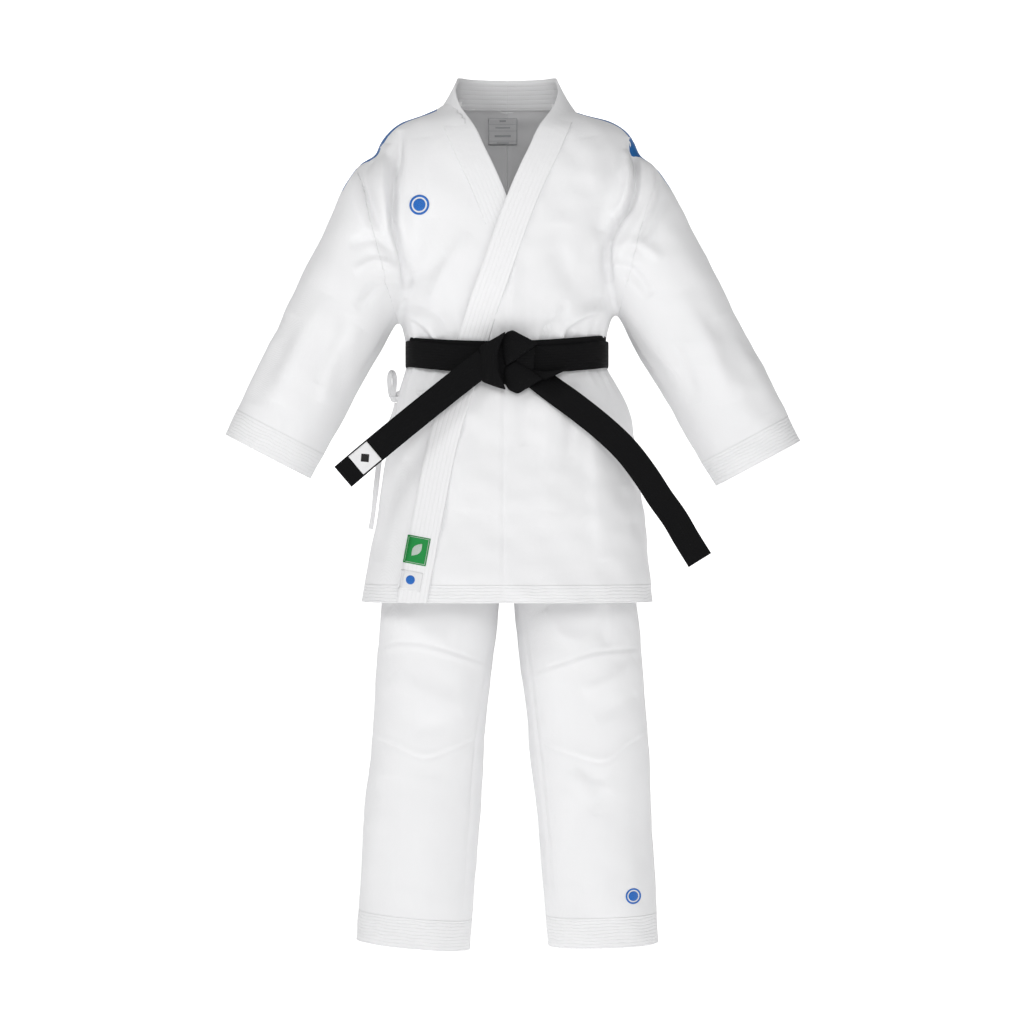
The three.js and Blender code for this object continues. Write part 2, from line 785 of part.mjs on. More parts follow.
const beltEnds = [
  ['belt_end_right', rightEndPivot, rightEndRoute],
  ['belt_end_left', leftEndPivot, leftEndRoute],
];
for (const [name, pivot, route] of beltEnds) {
  const end = new THREE.Group();
  end.position.set(pivot[0], endPlane, pivot[1]);
  end.rotation.x = -radians(beltEndTilt);
  uniform.add(end);
  place(end, name, frontPrism(bandShape(route), endFront, 0), beltBlack, 0.8);
  if (name === 'belt_end_right') {
    const labelBack = endFront - beltClearance;
    const label = frontPrism(beltLabelShape, labelBack - labelCloth, labelBack);
    place(end, 'belt_end_label', label, labelWhite, 0.6);
  }
}

const { waist_elastic, ...seatCloth } = seatPieces();
placeAll(uniform, seatCloth, '', liningWhite, 0.9);
place(uniform, 'waist_elastic', waist_elastic, elasticWhite, 0.8);
place(uniform, 'crotch_gusset', crotchGusset(), liningWhite, 0.9);
for (const [side, suffix] of [[1, '_left'], [-1, '_right']]) {
  for (const [name, solid] of Object.entries(legPieces())) {
    const turned = side > 0 ? solid : solid.mirror([1, 0, 0]);
    place(uniform, `${name}${suffix}`, turned, cottonWhite, 0.9);
  }
}
place(uniform, 'trouser_emblem', trouserEmblem(), tapeBlue, 0.55);

export default uniform;
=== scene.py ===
import json
import math

import bmesh
import bpy
import numpy as np
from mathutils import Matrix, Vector


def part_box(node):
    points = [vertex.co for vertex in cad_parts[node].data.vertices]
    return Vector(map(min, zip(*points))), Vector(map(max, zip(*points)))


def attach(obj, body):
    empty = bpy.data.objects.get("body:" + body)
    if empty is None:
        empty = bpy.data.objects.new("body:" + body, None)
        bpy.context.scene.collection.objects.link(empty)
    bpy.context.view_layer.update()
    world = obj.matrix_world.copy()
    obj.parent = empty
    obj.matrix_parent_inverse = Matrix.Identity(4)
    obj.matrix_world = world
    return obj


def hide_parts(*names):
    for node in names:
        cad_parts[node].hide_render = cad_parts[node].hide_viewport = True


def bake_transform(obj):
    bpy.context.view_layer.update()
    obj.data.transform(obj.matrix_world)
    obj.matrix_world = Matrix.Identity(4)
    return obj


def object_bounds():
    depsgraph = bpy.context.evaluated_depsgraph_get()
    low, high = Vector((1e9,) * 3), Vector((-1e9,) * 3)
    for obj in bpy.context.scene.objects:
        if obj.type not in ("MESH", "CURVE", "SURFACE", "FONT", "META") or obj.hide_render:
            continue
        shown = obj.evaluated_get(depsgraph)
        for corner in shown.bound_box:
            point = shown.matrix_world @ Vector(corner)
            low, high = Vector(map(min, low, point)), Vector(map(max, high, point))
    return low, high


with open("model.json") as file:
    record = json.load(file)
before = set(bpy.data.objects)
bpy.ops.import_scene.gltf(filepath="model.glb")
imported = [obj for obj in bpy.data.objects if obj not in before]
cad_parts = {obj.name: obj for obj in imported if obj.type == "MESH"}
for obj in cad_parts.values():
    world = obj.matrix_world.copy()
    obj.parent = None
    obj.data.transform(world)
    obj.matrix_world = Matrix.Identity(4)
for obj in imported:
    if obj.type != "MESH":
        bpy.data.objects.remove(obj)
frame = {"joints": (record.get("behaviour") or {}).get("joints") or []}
cad_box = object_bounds()

# ---- Camera and studio ------------------------------------------------------------------------
# A long lens straight in front, level with the middle of the uniform, and a pale sweep of paper
# that is floor and backdrop in one, lit by large soft panels.

low, high = (np.array(corner) for corner in cad_box)
middle = (low + high) / 2
view_width, view_shift = 1.638, 0.008
lens, sensor = 135, 36
camera = bpy.data.objects.new("camera", bpy.data.cameras.new("camera"))
camera.data.lens = lens
camera.data.sensor_width = sensor
camera.location = (middle[0] + view_shift, -view_width * lens / sensor, middle[2])
camera.rotation_euler = (math.pi / 2, 0, 0)
bpy.context.collection.objects.link(camera)
bpy.context.scene.camera = camera
bpy.context.scene.view_settings.view_transform = "Standard"


def together(*parts):
    """The parts, spread over one grid, as the last axis of one array."""
    return np.stack(np.broadcast_arrays(*parts), -1)


def grid_mesh(name, points, close_u=False, close_v=False, uv=None):
    """A mesh of a grid of points, rows by columns by 3. Each cell is one face; the columns join up
    if close_u, the rows if close_v. uv gives each point its place on the cloth, in metres."""
    rows, columns = points.shape[:2]
    r = np.arange(rows if close_v else rows - 1)[:, None]
    c = np.arange(columns if close_u else columns - 1)[None, :]
    r2, c2 = (r + 1) % rows, (c + 1) % columns
    corners = (r * columns + c, r * columns + c2, r2 * columns + c2, r2 * columns + c)
    faces = together(*corners).reshape(-1, 4)
    mesh = bpy.data.meshes.new(name)
    mesh.from_pydata(points.reshape(-1, 3), [], faces)
    if uv is not None:
        layer = mesh.uv_layers.new(name="cloth")
        places = np.stack([uv.reshape(-1, 2)[faces[:, k]] for k in range(4)], 1)
        layer.uv.foreach_set("vector", places.astype(np.float32).ravel())
    mesh.shade_smooth()
    piece = bpy.data.objects.new(name, mesh)
    bpy.context.collection.objects.link(piece)
    return piece


def paper_sweep():
    """Floor in front, a quarter circle, then a wall: a profile carried straight across."""
    floor_z, wall_y, wall_height, bend, half_width = low[2] - 0.16, 8.5, 7, 1.2, 9.0
    turn = np.linspace(0, math.pi / 2, 24)
    y = np.r_[-half_width, wall_y - bend + bend * np.sin(turn), wall_y]
    z = np.r_[floor_z, floor_z + bend - bend * np.cos(turn), floor_z + wall_height]
    x = np.array((-half_width, half_width))
    return grid_mesh("backdrop", together(x[None, :], y[:, None], z[:, None]))


backdrop = paper_sweep()
paper = bpy.data.materials.new("studio_paper")
paper.use_nodes = True
paper_shader = paper.node_tree.nodes["Principled BSDF"]
paper_shader.inputs["Base Color"].default_value = (0.9, 0.9, 0.9, 1)
paper_shader.inputs["Roughness"].default_value = 0.9
paper_shader.inputs["Emission Color"].default_value = (1, 1, 1, 1)
paper_shader.inputs["Emission Strength"].default_value = 0.72
backdrop.data.materials.append(paper)


def soft_panel(name, place, size, power):
    """A square light panel at a place, facing the middle of the uniform."""
    light = bpy.data.lights.new(name, "AREA")
    light.shape = "SQUARE"
    light.size = size
    light.energy = power
    panel = bpy.data.objects.new(name, light)
    panel.location = place
    panel.rotation_euler = Vector(middle - np.array(place)).to_track_quat("-Z", "Y").to_euler()
    bpy.context.collection.objects.link(panel)


soft_panel("key_panel", (-2.9, -2.2, 1.7), 1.3, 36)
soft_panel("front_panel", (0.1, -4.3, 0.8), 1.4, 52)
soft_panel("fill_panel", (3.0, -2.8, 0.4), 2.2, 14)
world = bpy.data.worlds.new("studio_air")
bpy.context.scene.world = world
world.use_nodes = True
world.node_tree.nodes["Background"].inputs["Color"].default_value = (1, 1, 1, 1)
world.node_tree.nodes["Background"].inputs["Strength"].default_value = 0.29

# ---- Side tie ---------------------------------------------------------------------------------
# A narrow tape of white cotton sewn to the side seam, tied in a small bow below the belt, with its
# limp tail hanging down beside the skirt.


class Value:
    """A shader socket that takes part in Python sums; each operator adds one Math node."""

    def __init__(self, finish, socket):
        self.finish, self.socket = finish, socket

    def math(self, operation, *others):
        node = self.finish.tree.nodes.new("ShaderNodeMath")
        node.operation = operation
        for slot, value in zip(node.inputs, (self, *others)):
            self.finish.feed(slot, value)
        return Value(self.finish, node.outputs[0])

    def __add__(self, other):
        return self.math("ADD", other)

    def __sub__(self, other):
        return self.math("SUBTRACT", other)

    def __mul__(self, other):
        return self.math("MULTIPLY", other)

    def __rsub__(self, other):
        return (self * -1).math("ADD", other)

    __radd__ = __add__
    __rmul__ = __mul__


class Finish:
    """A material in the making, whose shader sockets are fed numbers, colours or Values."""

    def __init__(self, name, roughness, sheen):
        self.material = bpy.data.materials.new(name)
        self.material.use_nodes = True
        self.tree = self.material.node_tree
        self.shader = self.tree.nodes["Principled BSDF"]
        self.shader.inputs["Roughness"].default_value = roughness
        self.shader.inputs["Sheen Weight"].default_value = sheen
        self.shader.inputs["Sheen Roughness"].default_value = 0.5
        self.shader.inputs["Specular IOR Level"].default_value = 0.25

    def feed(self, slot, value):
        if isinstance(value, Value):
            self.tree.links.new(value.socket, slot)
        elif isinstance(value, tuple):
            slot.default_value = (*value, 1)[: len(slot.default_value)]
        else:
            slot.default_value = value

    def node(self, kind, settings=None, output=0, **values):
        """One node of any kind: its settings first, then the values or links of its sockets."""
        made = self.tree.nodes.new(kind)
        for key, value in (settings or {}).items():
            setattr(made, key, value)
        for key, value in values.items():
            self.feed(made.inputs[key.replace("_", " ")], value)
        return Value(self, made.outputs[output])

    def spread(self, where):
        """A place and its three coordinates."""
        split = self.tree.nodes.new("ShaderNodeSeparateXYZ")
        self.feed(split.inputs[0], where)
        return where, *(Value(self, out) for out in split.outputs)

    def on_cloth(self):
        """The place on the cloth: first across the strip, then along it, in metres."""
        return self.spread(self.node("ShaderNodeUVMap", {"uv_map": "cloth"}))

    def in_piece(self):
        """The place in the piece's own coordinates, in metres."""
        return self.spread(self.node("ShaderNodeTexCoord", output=3))

    def mix(self, factor, first, second):
        """A colour between two, by factor. Its colour sockets come after those for numbers."""
        made = self.tree.nodes.new("ShaderNodeMix")
        made.data_type = "RGBA"
        for socket, value in ((0, factor), (6, first), (7, second)):
            self.feed(made.inputs[socket], value)
        return Value(self, made.outputs[2])

    def noise(self, where, scale, detail=2.0):
        return self.node("ShaderNodeTexNoise", Vector=where, Scale=scale, Detail=detail)

    def wave(self, value, pitch):
        """A sine from 0 to 1 with one crest each pitch metres."""
        return (value * (2 * math.pi / pitch)).math("SINE") * 0.5 + 0.5

    def below(self, value, edge, soft):
        """1 where value is under edge, 0 over it, with a soft change of the given width."""
        return self.node(
            "ShaderNodeMapRange", {"interpolation_type": "SMOOTHSTEP"}, Value=value,
            From_Min=edge - soft / 2, From_Max=edge + soft / 2, To_Min=1.0, To_Max=0.0,
        )

    def finish(self, colour, height, distance):
        """Sets the colour, and a bump whose full height is distance metres."""
        self.feed(self.shader.inputs["Base Color"], colour)
        made = self.node("ShaderNodeBump", Height=height, Distance=distance, Strength=1.0)
        self.feed(self.shader.inputs["Normal"], made)
        return self.material


cotton_white = (0.80, 0.80, 0.808)


def shade_of(colour, share):
    return tuple(share * part for part in colour)


def row_finish(name, colour, pitch, depth, roughness=0.88, sheen=0.1, weave=0.0011, gloss=0.25):
    """Woven tape or belt cloth: threads both ways, and stitch rows along it, one each pitch,
    whose sunken grooves are darkened with painted shade.
    """
    finish = Finish(name, roughness, sheen)
    finish.shader.inputs["Specular IOR Level"].default_value = gloss
    where, across, along, _ = finish.on_cloth()
    threads = finish.wave(across, weave) * 0.5 + finish.wave(along, weave) * 0.5
    groove = finish.wave(across, pitch).math("POWER", 9.0)
    stitch = finish.wave(along, 0.0036) * 0.45 + 0.55
    fibre = finish.noise(where, 700.0)
    cloud = finish.noise(where, 16.0, 3.0)
    height = threads * 0.12 + fibre * 0.18 - groove * stitch * depth
    # Painted shade: the sunken stitch grooves are darkened here; cloud and fibre are random tone.
    shade = groove * stitch * 0.5 + cloud * 0.25 + fibre * 0.2
    return finish.finish(finish.mix(shade, colour, shade_of(colour, 0.72)), height, 0.0009)


tie_cotton = row_finish("tie_cotton", cotton_white, 0.003, 0.2)


def distance_along(path):
    """How far along a path each of its points lies: the sum of the steps before it."""
    return np.r_[0, np.cumsum(np.linalg.norm(np.diff(path, axis=0), axis=1))]


def smooth_path(points, count):
    """A curve through given points: each coordinate is a cubic in the distance along them, and
    the result has count points."""
    points = np.array(points, float)
    along = distance_along(points)
    at = np.linspace(0, along[-1], count)
    return np.stack([curve_through(at, along, points[:, k]) for k in range(points.shape[1])], -1)


def curve_through(at, knots, values):
    """A smooth value at each place in at: a cubic between each pair of knots, whose slopes at the
    knots are the mean slopes of their two neighbours."""
    knots, values, at = (np.asarray(a, float) for a in (knots, values, at))
    if knots[0] > knots[-1]:
        knots, values = knots[::-1], values[::-1]
    slopes = np.gradient(values, knots)
    i = np.clip(np.searchsorted(knots, at) - 1, 0, len(knots) - 2)
    gap = knots[i + 1] - knots[i]
    t = np.clip((at - knots[i]) / gap, 0, 1)
    return (
        (2 * t**3 - 3 * t**2 + 1) * values[i]
        + (t**3 - 2 * t**2 + t) * gap * slopes[i]
        + (3 * t**2 - 2 * t**3) * values[i + 1]
        + (t**3 - t**2) * gap * slopes[i + 1]
    )


def unit(vectors):
    """The same directions, one long."""
    return vectors / np.linalg.norm(vectors, axis=-1, keepdims=True)


def squarish(wave, fullness):
    """A cosine or sine made squarer: its size to the power 2 over fullness, its sign kept."""
    return np.sign(wave) * np.abs(wave) ** (2 / fullness)


def strip(name, path, outward, width, thick, material, columns):
    """A flat tape of a width and a thickness carried along a path. Its section is a rounded
    oblong: cosine and sine to the power 2 over 7. outward is the way its face looks."""
    along = unit(np.gradient(path, axis=0))
    across = unit(np.cross(along, np.broadcast_to(outward, path.shape)))
    face = np.cross(across, along)
    turn = np.linspace(0, 2 * math.pi, columns, endpoint=False) + math.pi / columns
    out = squarish(np.cos(turn), 7) * width / 2
    up = squarish(np.sin(turn), 7) * thick / 2
    body = path[:, None] + out[:, None] * across[:, None] + up[:, None] * face[:, None]
    caps = [np.broadcast_to(path[i], (1, columns, 3)) for i in (0, -1)]
    points = np.concatenate([caps[0], body, caps[1]])
    run = distance_along(path)
    run = np.r_[run[0], run, run[-1]]
    piece = grid_mesh(name, points, close_u=True, uv=together(out[None, :], run[:, None]))
    piece.data.materials.append(material)
    return tidy_mesh(piece)


def tidy_mesh(piece, weld=1e-6):
    """Merges doubled points, drops faces that closed up, and turns all faces outwards."""
    work = bmesh.new()
    work.from_mesh(piece.data)
    bmesh.ops.remove_doubles(work, verts=work.verts, dist=weld)
    bmesh.ops.dissolve_degenerate(work, dist=weld / 10, edges=work.edges)
    bmesh.ops.recalc_face_normals(work, faces=work.faces)
    work.to_mesh(piece.data)
    work.free()
    piece.data.shade_smooth()
    return piece


tail_route = np.array([
    (-175.5, -14, -469.4), (-178.5, -14, -481), (-184.5, -14.5, -496), (-191, -15, -513),
    (-197, -15.5, -530), (-201.5, -16.5, -548), (-204.5, -17, -566), (-206.5, -17.5, -584),
    (-208.5, -18, -602), (-210.5, -18.5, -620), (-212.5, -19, -638), (-215, -19.5, -656),
    (-217.5, -20, -670),
]) / 1000
tie_width, tie_thick = 0.009, 0.002
tail_path = smooth_path(tail_route, 60)
# The tape faces forwards and turns a little to and fro on its way down.
tail_share = np.linspace(0, 1, len(tail_path))
tail_turn = 0.35 + 0.45 * np.sin(9 * tail_share)
tail_face = together(-np.sin(tail_turn), -np.cos(tail_turn), 0)
tie_tail = strip("tie_tail", tail_path, tail_face, tie_width, tie_thick, tie_cotton, 16)
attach(tie_tail, "jacket")
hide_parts("side_tie_tail")


def bow_loop(name, centre, width, height, depth, tape):
    """One loop of tape, tape metres wide: an upright ring in the front view, narrow at its foot,
    that sways twice in depth and faces mostly forwards."""
    turn = np.linspace(-math.pi / 2, 1.5 * math.pi, 40)[:-1]
    foot = 0.55
    x = np.cos(turn) * width / 2 * (foot + (1 - foot) * (np.sin(turn) + 1) / 2)
    z = np.sin(turn) * height / 2
    y = depth * np.sin(2 * turn)
    path = centre + together(x, y, z)
    path = np.concatenate([path, path[:1]])
    facing = 0.35 * unit(path - centre) + (0, -0.93, 0)
    return strip(name, path, facing, tape, tie_thick, tie_cotton, 16)


tie_knot_at = np.array((-0.1795, -0.0145, -0.4625))
tie_loop = bow_loop("tie_bow_loop", tie_knot_at + (-0.004, 0, 0.023), 0.0105, 0.040, 0.003, 0.0078)
tie_loop_small = bow_loop("tie_bow_loop_back", tie_knot_at + (0.008, 0.003, 0.004), 0.012, 0.015, 0.002,
                          0.0035)


def soft_ball(name, centre, radii, material):
    """A dented ball: a sphere grid whose radius swells and sinks by up to dent, three times round
    and twice from pole to pole."""
    dent, start = 0.12, 1
    up = np.linspace(-math.pi / 2, math.pi / 2, 17)[:, None]
    turn = np.linspace(0, 2 * math.pi, 28, endpoint=False)[None, :]
    radius = 1 + dent * np.sin(3 * turn + start) * np.cos(up) * np.sin(2 * up + 0.6)
    unit_ball = together(np.cos(up) * np.cos(turn), np.cos(up) * np.sin(turn), np.sin(up))
    points = centre + radius[..., None] * unit_ball * np.array(radii)
    piece = grid_mesh(name, points, close_u=True, uv=together(turn * radii[0], up * radii[2]))
    piece.data.materials.append(material)
    return tidy_mesh(piece)


tie_knot = soft_ball("tie_bow_knot", tie_knot_at, (0.0068, 0.0052, 0.0056), tie_cotton)
strap_route = np.array([(-178, -16, -463), (-166, -40, -460), (-152, -66, -457), (-134, -88, -455),
                        (-112, -99, -454)]) / 1000
tie_strap = strip("tie_strap", smooth_path(strap_route, 30), (-0.6, -0.75, 0), tie_width * 0.7,
                  tie_thick * 0.7, tie_cotton, 16)
for piece in (tie_loop, tie_loop_small, tie_knot, tie_strap):
    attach(piece, "jacket")
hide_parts("side_tie_bow")
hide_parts("side_tie_strap")

# ---- Jacket body and sleeves ------------------------------------------------------------------
# Two halves of bleached cotton canvas, each one panel from the front edge round to the seam down
# the middle of the back, cut deep at the armhole, with its sleeve sewn on at the drop of the
# shoulder. Hems and cuffs are turned up and sewn through in rows.


def canvas(name, band_width):
    """Cotton canvas: crossed threads, fine creases and a faint cloudiness. Within band_width metres
    of an edge, by the piece's own edge attribute, the cloth is sewn through in puckered rows; the
    sunken rows, and a thin line just past the band's raised edge, are darkened with painted shade."""
    finish = Finish(name, 0.88, 0.12)
    where, x, y, z = finish.in_piece()
    weft = finish.wave(x + y, 0.0013)
    warp = finish.wave(z, 0.0013)
    fibre = finish.noise(where, 850.0)
    cloud = finish.noise(where, 7.0, 3.0)
    crease = finish.noise(where, 55.0, 4.0)
    height = weft * 0.07 + warp * 0.07 + fibre * 0.12 + crease * 0.22
    shade = cloud * 0.2 + fibre * 0.15
    edge = finish.node("ShaderNodeAttribute", {"attribute_name": "edge"}, output=2)
    wobble = finish.noise(where, 34.0) * 0.007
    inside = finish.below(edge, band_width, 0.0012)
    rows = finish.wave(edge + wobble, 0.0052).math("POWER", 3.0)
    step = finish.noise(where, 190.0)
    height = height + inside * (1 - rows * (0.2 + step * 0.8)) * 0.62
    # Painted shade: a thin dark line just past the band's raised edge, and the sunken stitch rows, darken the
    # colour below.
    border = finish.below(edge, band_width + 0.0016, 0.001) - finish.below(edge, band_width, 0.001)
    shade = shade + inside * rows * step * 0.45 + border * 0.55
    return finish.finish(finish.mix(shade * 0.5, cotton_white, shade_of(cotton_white, 0.8)), height, 0.0011)


hem_width, cuff_width = 0.028, 0.044
body_canvas = canvas("jacket_canvas", hem_width)
sleeve_canvas = canvas("sleeve_canvas", cuff_width)
hem_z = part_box("hem_band_back")[0][2]
voxel = 0.0062
cloth_thick = 0.0022


def smooth_step(edge0, edge1, x):
    """0 below edge0, 1 above edge1, and an S-curve between: 3t squared minus 2t cubed."""
    t = np.clip((np.asarray(x, float) - edge0) / (edge1 - edge0), 0, 1)
    return t * t * (3 - 2 * t)


def closed_tube(name, rings):
    """A tube with a flat fan at each end. A ring is (centre, across axis, half width, front depth,
    back depth, fullness): across and deep follow cosine and sine to the power 2 over fullness."""
    around = 96
    turn = np.linspace(0, 2 * math.pi, around, endpoint=False)
    sine = np.sin(turn)[None, :]
    centre = np.array([ring[0] for ring in rings])[:, None, :]
    across = np.array([ring[1] for ring in rings])[:, None, :]
    half, front, back, fullness = (np.array([ring[k] for ring in rings])[:, None] for k in (2, 3, 4, 5))
    out = squarish(np.cos(turn)[None, :], fullness) * half
    deep = squarish(sine, fullness) * np.where(sine < 0, front, back)
    points = centre + out[..., None] * across + deep[..., None] * np.array((0, 1, 0))
    caps = [points[i].mean(0, keepdims=True).repeat(around, 0)[None] for i in (0, -1)]
    return tidy_mesh(grid_mesh(name, np.concatenate([caps[0], points, caps[1]]), close_u=True))


def baked(piece, kind, **settings):
    """The piece with one modifier applied."""
    modifier = piece.modifiers.new(kind.lower(), kind)
    for key, value in settings.items():
        setattr(modifier, key, value)
    bpy.context.view_layer.update()
    seen = piece.evaluated_get(bpy.context.evaluated_depsgraph_get())
    shaped = bpy.data.meshes.new_from_object(seen)
    piece.modifiers.clear()
    piece.data = shaped
    shaped.shade_smooth()
    return piece


def joined(name, *pieces):
    """One object of all the pieces' meshes."""
    with bpy.context.temp_override(active_object=pieces[0], selected_editable_objects=pieces):
        bpy.ops.object.join()
    pieces[0].name = name
    return pieces[0]


def points_of(piece, what="co"):
    """The piece's points, or with what = normal their normals, one row each."""
    holder, key = (piece.data.vertices, "co") if what == "co" else (piece.data.vertex_normals, "vector")
    flat = np.empty(len(holder) * 3, np.float32)
    holder.foreach_get(key, flat)
    return flat.reshape(-1, 3).astype(float)


def move_points(piece, points):
    """Sets the places of all the piece's points."""
    piece.data.vertices.foreach_set("co", points.astype(np.float32).ravel())
    piece.data.update()


def relax(piece, rounds):
    """Each round moves every point half way to the mean of its neighbours."""
    edges = np.empty(len(piece.data.edges) * 2, np.int32)
    piece.data.edges.foreach_get("vertices", edges)
    a, b = edges.reshape(-1, 2).T
    points = points_of(piece)
    count = np.bincount(np.r_[a, b], minlength=len(points))[:, None]
    for _ in range(rounds):
        total = np.stack([np.bincount(np.r_[a, b], weights=points[np.r_[b, a], k], minlength=len(points))
                          for k in range(3)], -1)
        points += 0.5 * (total / np.maximum(count, 1) - points)
    move_points(piece, points)


def face_centres(piece):
    """The middle of each face, one row each."""
    flat = np.empty(len(piece.data.polygons) * 3, np.float32)
    piece.data.polygons.foreach_get("center", flat)
    return flat.reshape(-1, 3).astype(float)


def keep_faces(piece, keep):
    """Keeps the faces whose centres pass a test on an array of points."""
    gone = np.flatnonzero(~keep(face_centres(piece)))
    work = bmesh.new()
    work.from_mesh(piece.data)
    work.faces.ensure_lookup_table()
    bmesh.ops.delete(work, geom=[work.faces[i] for i in gone], context="FACES")
    work.to_mesh(piece.data)
    work.free()


def cut_plane(piece, place, normal, among=None, drop=True):
    """Cuts along a plane among the faces that pass a test, and drops what lies in front of it, or
    keeps it too where drop is off."""
    chosen = np.arange(len(piece.data.polygons))
    if among is not None:
        chosen = np.flatnonzero(among(face_centres(piece)))
    work = bmesh.new()
    work.from_mesh(piece.data)
    work.faces.ensure_lookup_table()
    faces = [work.faces[i] for i in chosen]
    touched = {e for f in faces for e in f.edges} | {v for f in faces for v in f.verts}
    bmesh.ops.bisect_plane(
        work, geom=[*faces, *touched], plane_co=tuple(place), plane_no=tuple(normal), clear_outer=drop)
    work.to_mesh(piece.data)
    work.free()


def copy_of(piece, name):
    """The same mesh again, as a new object."""
    twin = bpy.data.objects.new(name, piece.data.copy())
    bpy.context.collection.objects.link(twin)
    return twin


def set_attribute(piece, name, values):
    """Stores one number a point, for a material to read by its name."""
    layer = piece.data.attributes.new(name, "FLOAT", "POINT")
    layer.data.foreach_set("value", values.astype(np.float32))


fold_strength = 1.3  # every fold's height is multiplied by this


def fold_rise(flat, route, height, width, lean):
    """How far a fold lifts each point of the front view: a bell across its route, steeper on one
    side by lean, that fades in and out along it. The route is bent smoothly first."""
    route = smooth_path(np.array(route) / 1000, 24)
    starts, runs = route[:-1], np.diff(route, axis=0)
    off = flat[:, None] - starts[None]
    t = np.clip((off * runs).sum(-1) / (runs * runs).sum(-1), 0, 1)
    off = off - t[..., None] * runs
    distance = np.hypot(off[..., 0], off[..., 1])
    nearest = distance.argmin(1)
    rows = np.arange(len(flat))
    off, run = off[rows, nearest], runs[nearest]
    side = np.sign(run[:, 0] * off[:, 1] - run[:, 1] * off[:, 0])
    share = (nearest + t[rows, nearest]) / len(starts)
    bell = np.exp(-((distance.min(1) / (width / 1000 * (1 + lean * side))) ** 2))
    fade = np.sin(math.pi * np.clip(share, 0, 1)) ** 0.6
    return fold_strength * height / 1000 * bell * fade


def press_folds(piece, folds, facing):
    """Lifts or sinks the cloth along each fold, where it faces forwards (-1) or backwards (1)."""
    points, normals = points_of(piece), points_of(piece, "normal")
    weight = smooth_step(0.02, 0.5, normals[:, 1] * facing)
    rise = np.zeros(len(points))
    seen = weight > 0
    flat = points[seen][:, [0, 2]]
    for route, height, width, lean in folds:
        rise[seen] += fold_rise(flat, route, height, width, lean)
    move_points(piece, points + normals * (rise * weight)[:, None])


def soft_waves(points, seed, size, count=12):
    """Gentle unevenness: a sum of sines in random directions, each about size metres long."""
    random = np.random.default_rng(seed)
    directions = unit(random.normal(size=(count, 3)))
    lengths = size * random.uniform(0.6, 1.6, count)
    phases = random.uniform(0, 2 * math.pi, count)
    return np.sin(points @ (directions.T * 2 * math.pi / lengths) + phases).sum(1) / math.sqrt(count)


def ruffle(piece, depth, size, seed):
    """Moves each point in or out by the soft waves, depth metres at most places."""
    points, normals = points_of(piece), points_of(piece, "normal")
    move_points(piece, points + normals * (depth * soft_waves(points, seed, size))[:, None])


# The body's outline in the front view, and its depth, from the neck down to the hem.
body_z = np.array([14, -3, -16, -30, -48, -85, -134, -200, -250, -290, -315, -345, -371, -413,
                   -430, -455, -483, -526, -598, -662, -742, -800]) / 1000
body_right = np.array([106, 114, 163, 184, 201, 209, 202, 181, 168, 162, 167, 165, 157, 158,
                       165, 174, 180, 189, 200, 209, 224, 234]) / 1000
body_left = np.array([98, 106, 156, 184, 202, 210, 205, 184, 170, 167, 169, 165, 157, 158,
                      168, 184, 196, 204, 212, 220, 229, 233]) / 1000
body_front = np.array([60, 68, 78, 88, 96, 108, 116, 120, 120, 117, 112, 105, 99, 99,
                       104, 111, 117, 122, 130, 136, 144, 147]) / 1000
body_back = np.array([70, 77, 86, 94, 102, 113, 119, 120, 117, 113, 109, 104, 100, 100,
                      104, 110, 115, 121, 129, 137, 146, 150]) / 1000
full_z, full_values = (-0.8, -0.45, -0.35, -0.05), (3.0, 2.6, 2.5, 2.2)
belt_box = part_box("belt_wrap_outer")
belt_z = (belt_box[0][2] + belt_box[1][2]) / 2


def body_at(z):
    """Centre, half width, front depth, back depth and fullness of the body at each height."""
    right, left, front, back = (curve_through(z, body_z, side)
                                for side in (body_right, body_left, body_front, body_back))
    fullness = np.interp(z, full_z, full_values)
    return (left - right) / 2, (left + right) / 2, front, back, fullness


def pinch(z):
    """1 on free cloth, down to 0.4 under the belt."""
    return 1 - 0.6 * np.exp(-(((np.asarray(z) - belt_z) / 0.045) ** 2))


def front_y(x, z, lift):
    """Depth of the jacket's front at a place in the front view, lift in front of the cloth."""
    centre, half, front, _, fullness = body_at(z)
    share = np.clip(np.abs((x - centre) / half), 0, 0.999)
    return -front * (1 - share**fullness) ** (1 / fullness) - lift * pinch(z)


# The free edge of the wearer's left lapel in the front view, from the neck down to the hem.
free_edge = np.array([[74, 2], [53, -27], [37, -64], [19, -102], [0, -147], [-21, -204], [-38, -253],
                      [-59, -312], [-78, -374], [-98, -440], [-116, -499], [-146, -640],
                      [-174, -790], [-176, -800]]) / 1000


def body_rings(lift):
    """Rings down the body; lift carries the front panel clear of the one under it."""
    z = np.linspace(0.012, -0.812, 80)
    centre, half, front, back, fullness = body_at(z)
    front = front + lift * pinch(z)
    return [((centre[i], 0, z[i]), (1, 0, 0), half[i], front[i], back[i], fullness[i])
            for i in range(len(z))]


# Each sleeve's straight axis from shoulder to cuff, by side, and its half width and half depth at
# distances down that axis.
sleeve_ends = {-1: ((-0.180, 0, -0.160), (-0.3835, 0, -0.5535)),
               1: ((0.182, 0, -0.160), (0.4000, 0, -0.5660))}
sleeve_at = (-0.085, -0.06, -0.03, 0, 0.10, 0.22, 0.34, 0.44, 0.50)
sleeve_half = (0.030, 0.066, 0.082, 0.087, 0.085, 0.083, 0.080, 0.0775, 0.0765)
sleeve_deep = (0.040, 0.072, 0.087, 0.092, 0.089, 0.083, 0.073, 0.063, 0.060)


def sleeve_axes(side):
    """Start of the sleeve's axis, the way down it, the way across it, and its length."""
    start, end = (np.array(place) for place in sleeve_ends[side])
    length = np.linalg.norm(end - start)
    down = (end - start) / length
    return start, down, np.array((-down[2], 0, down[0])), length


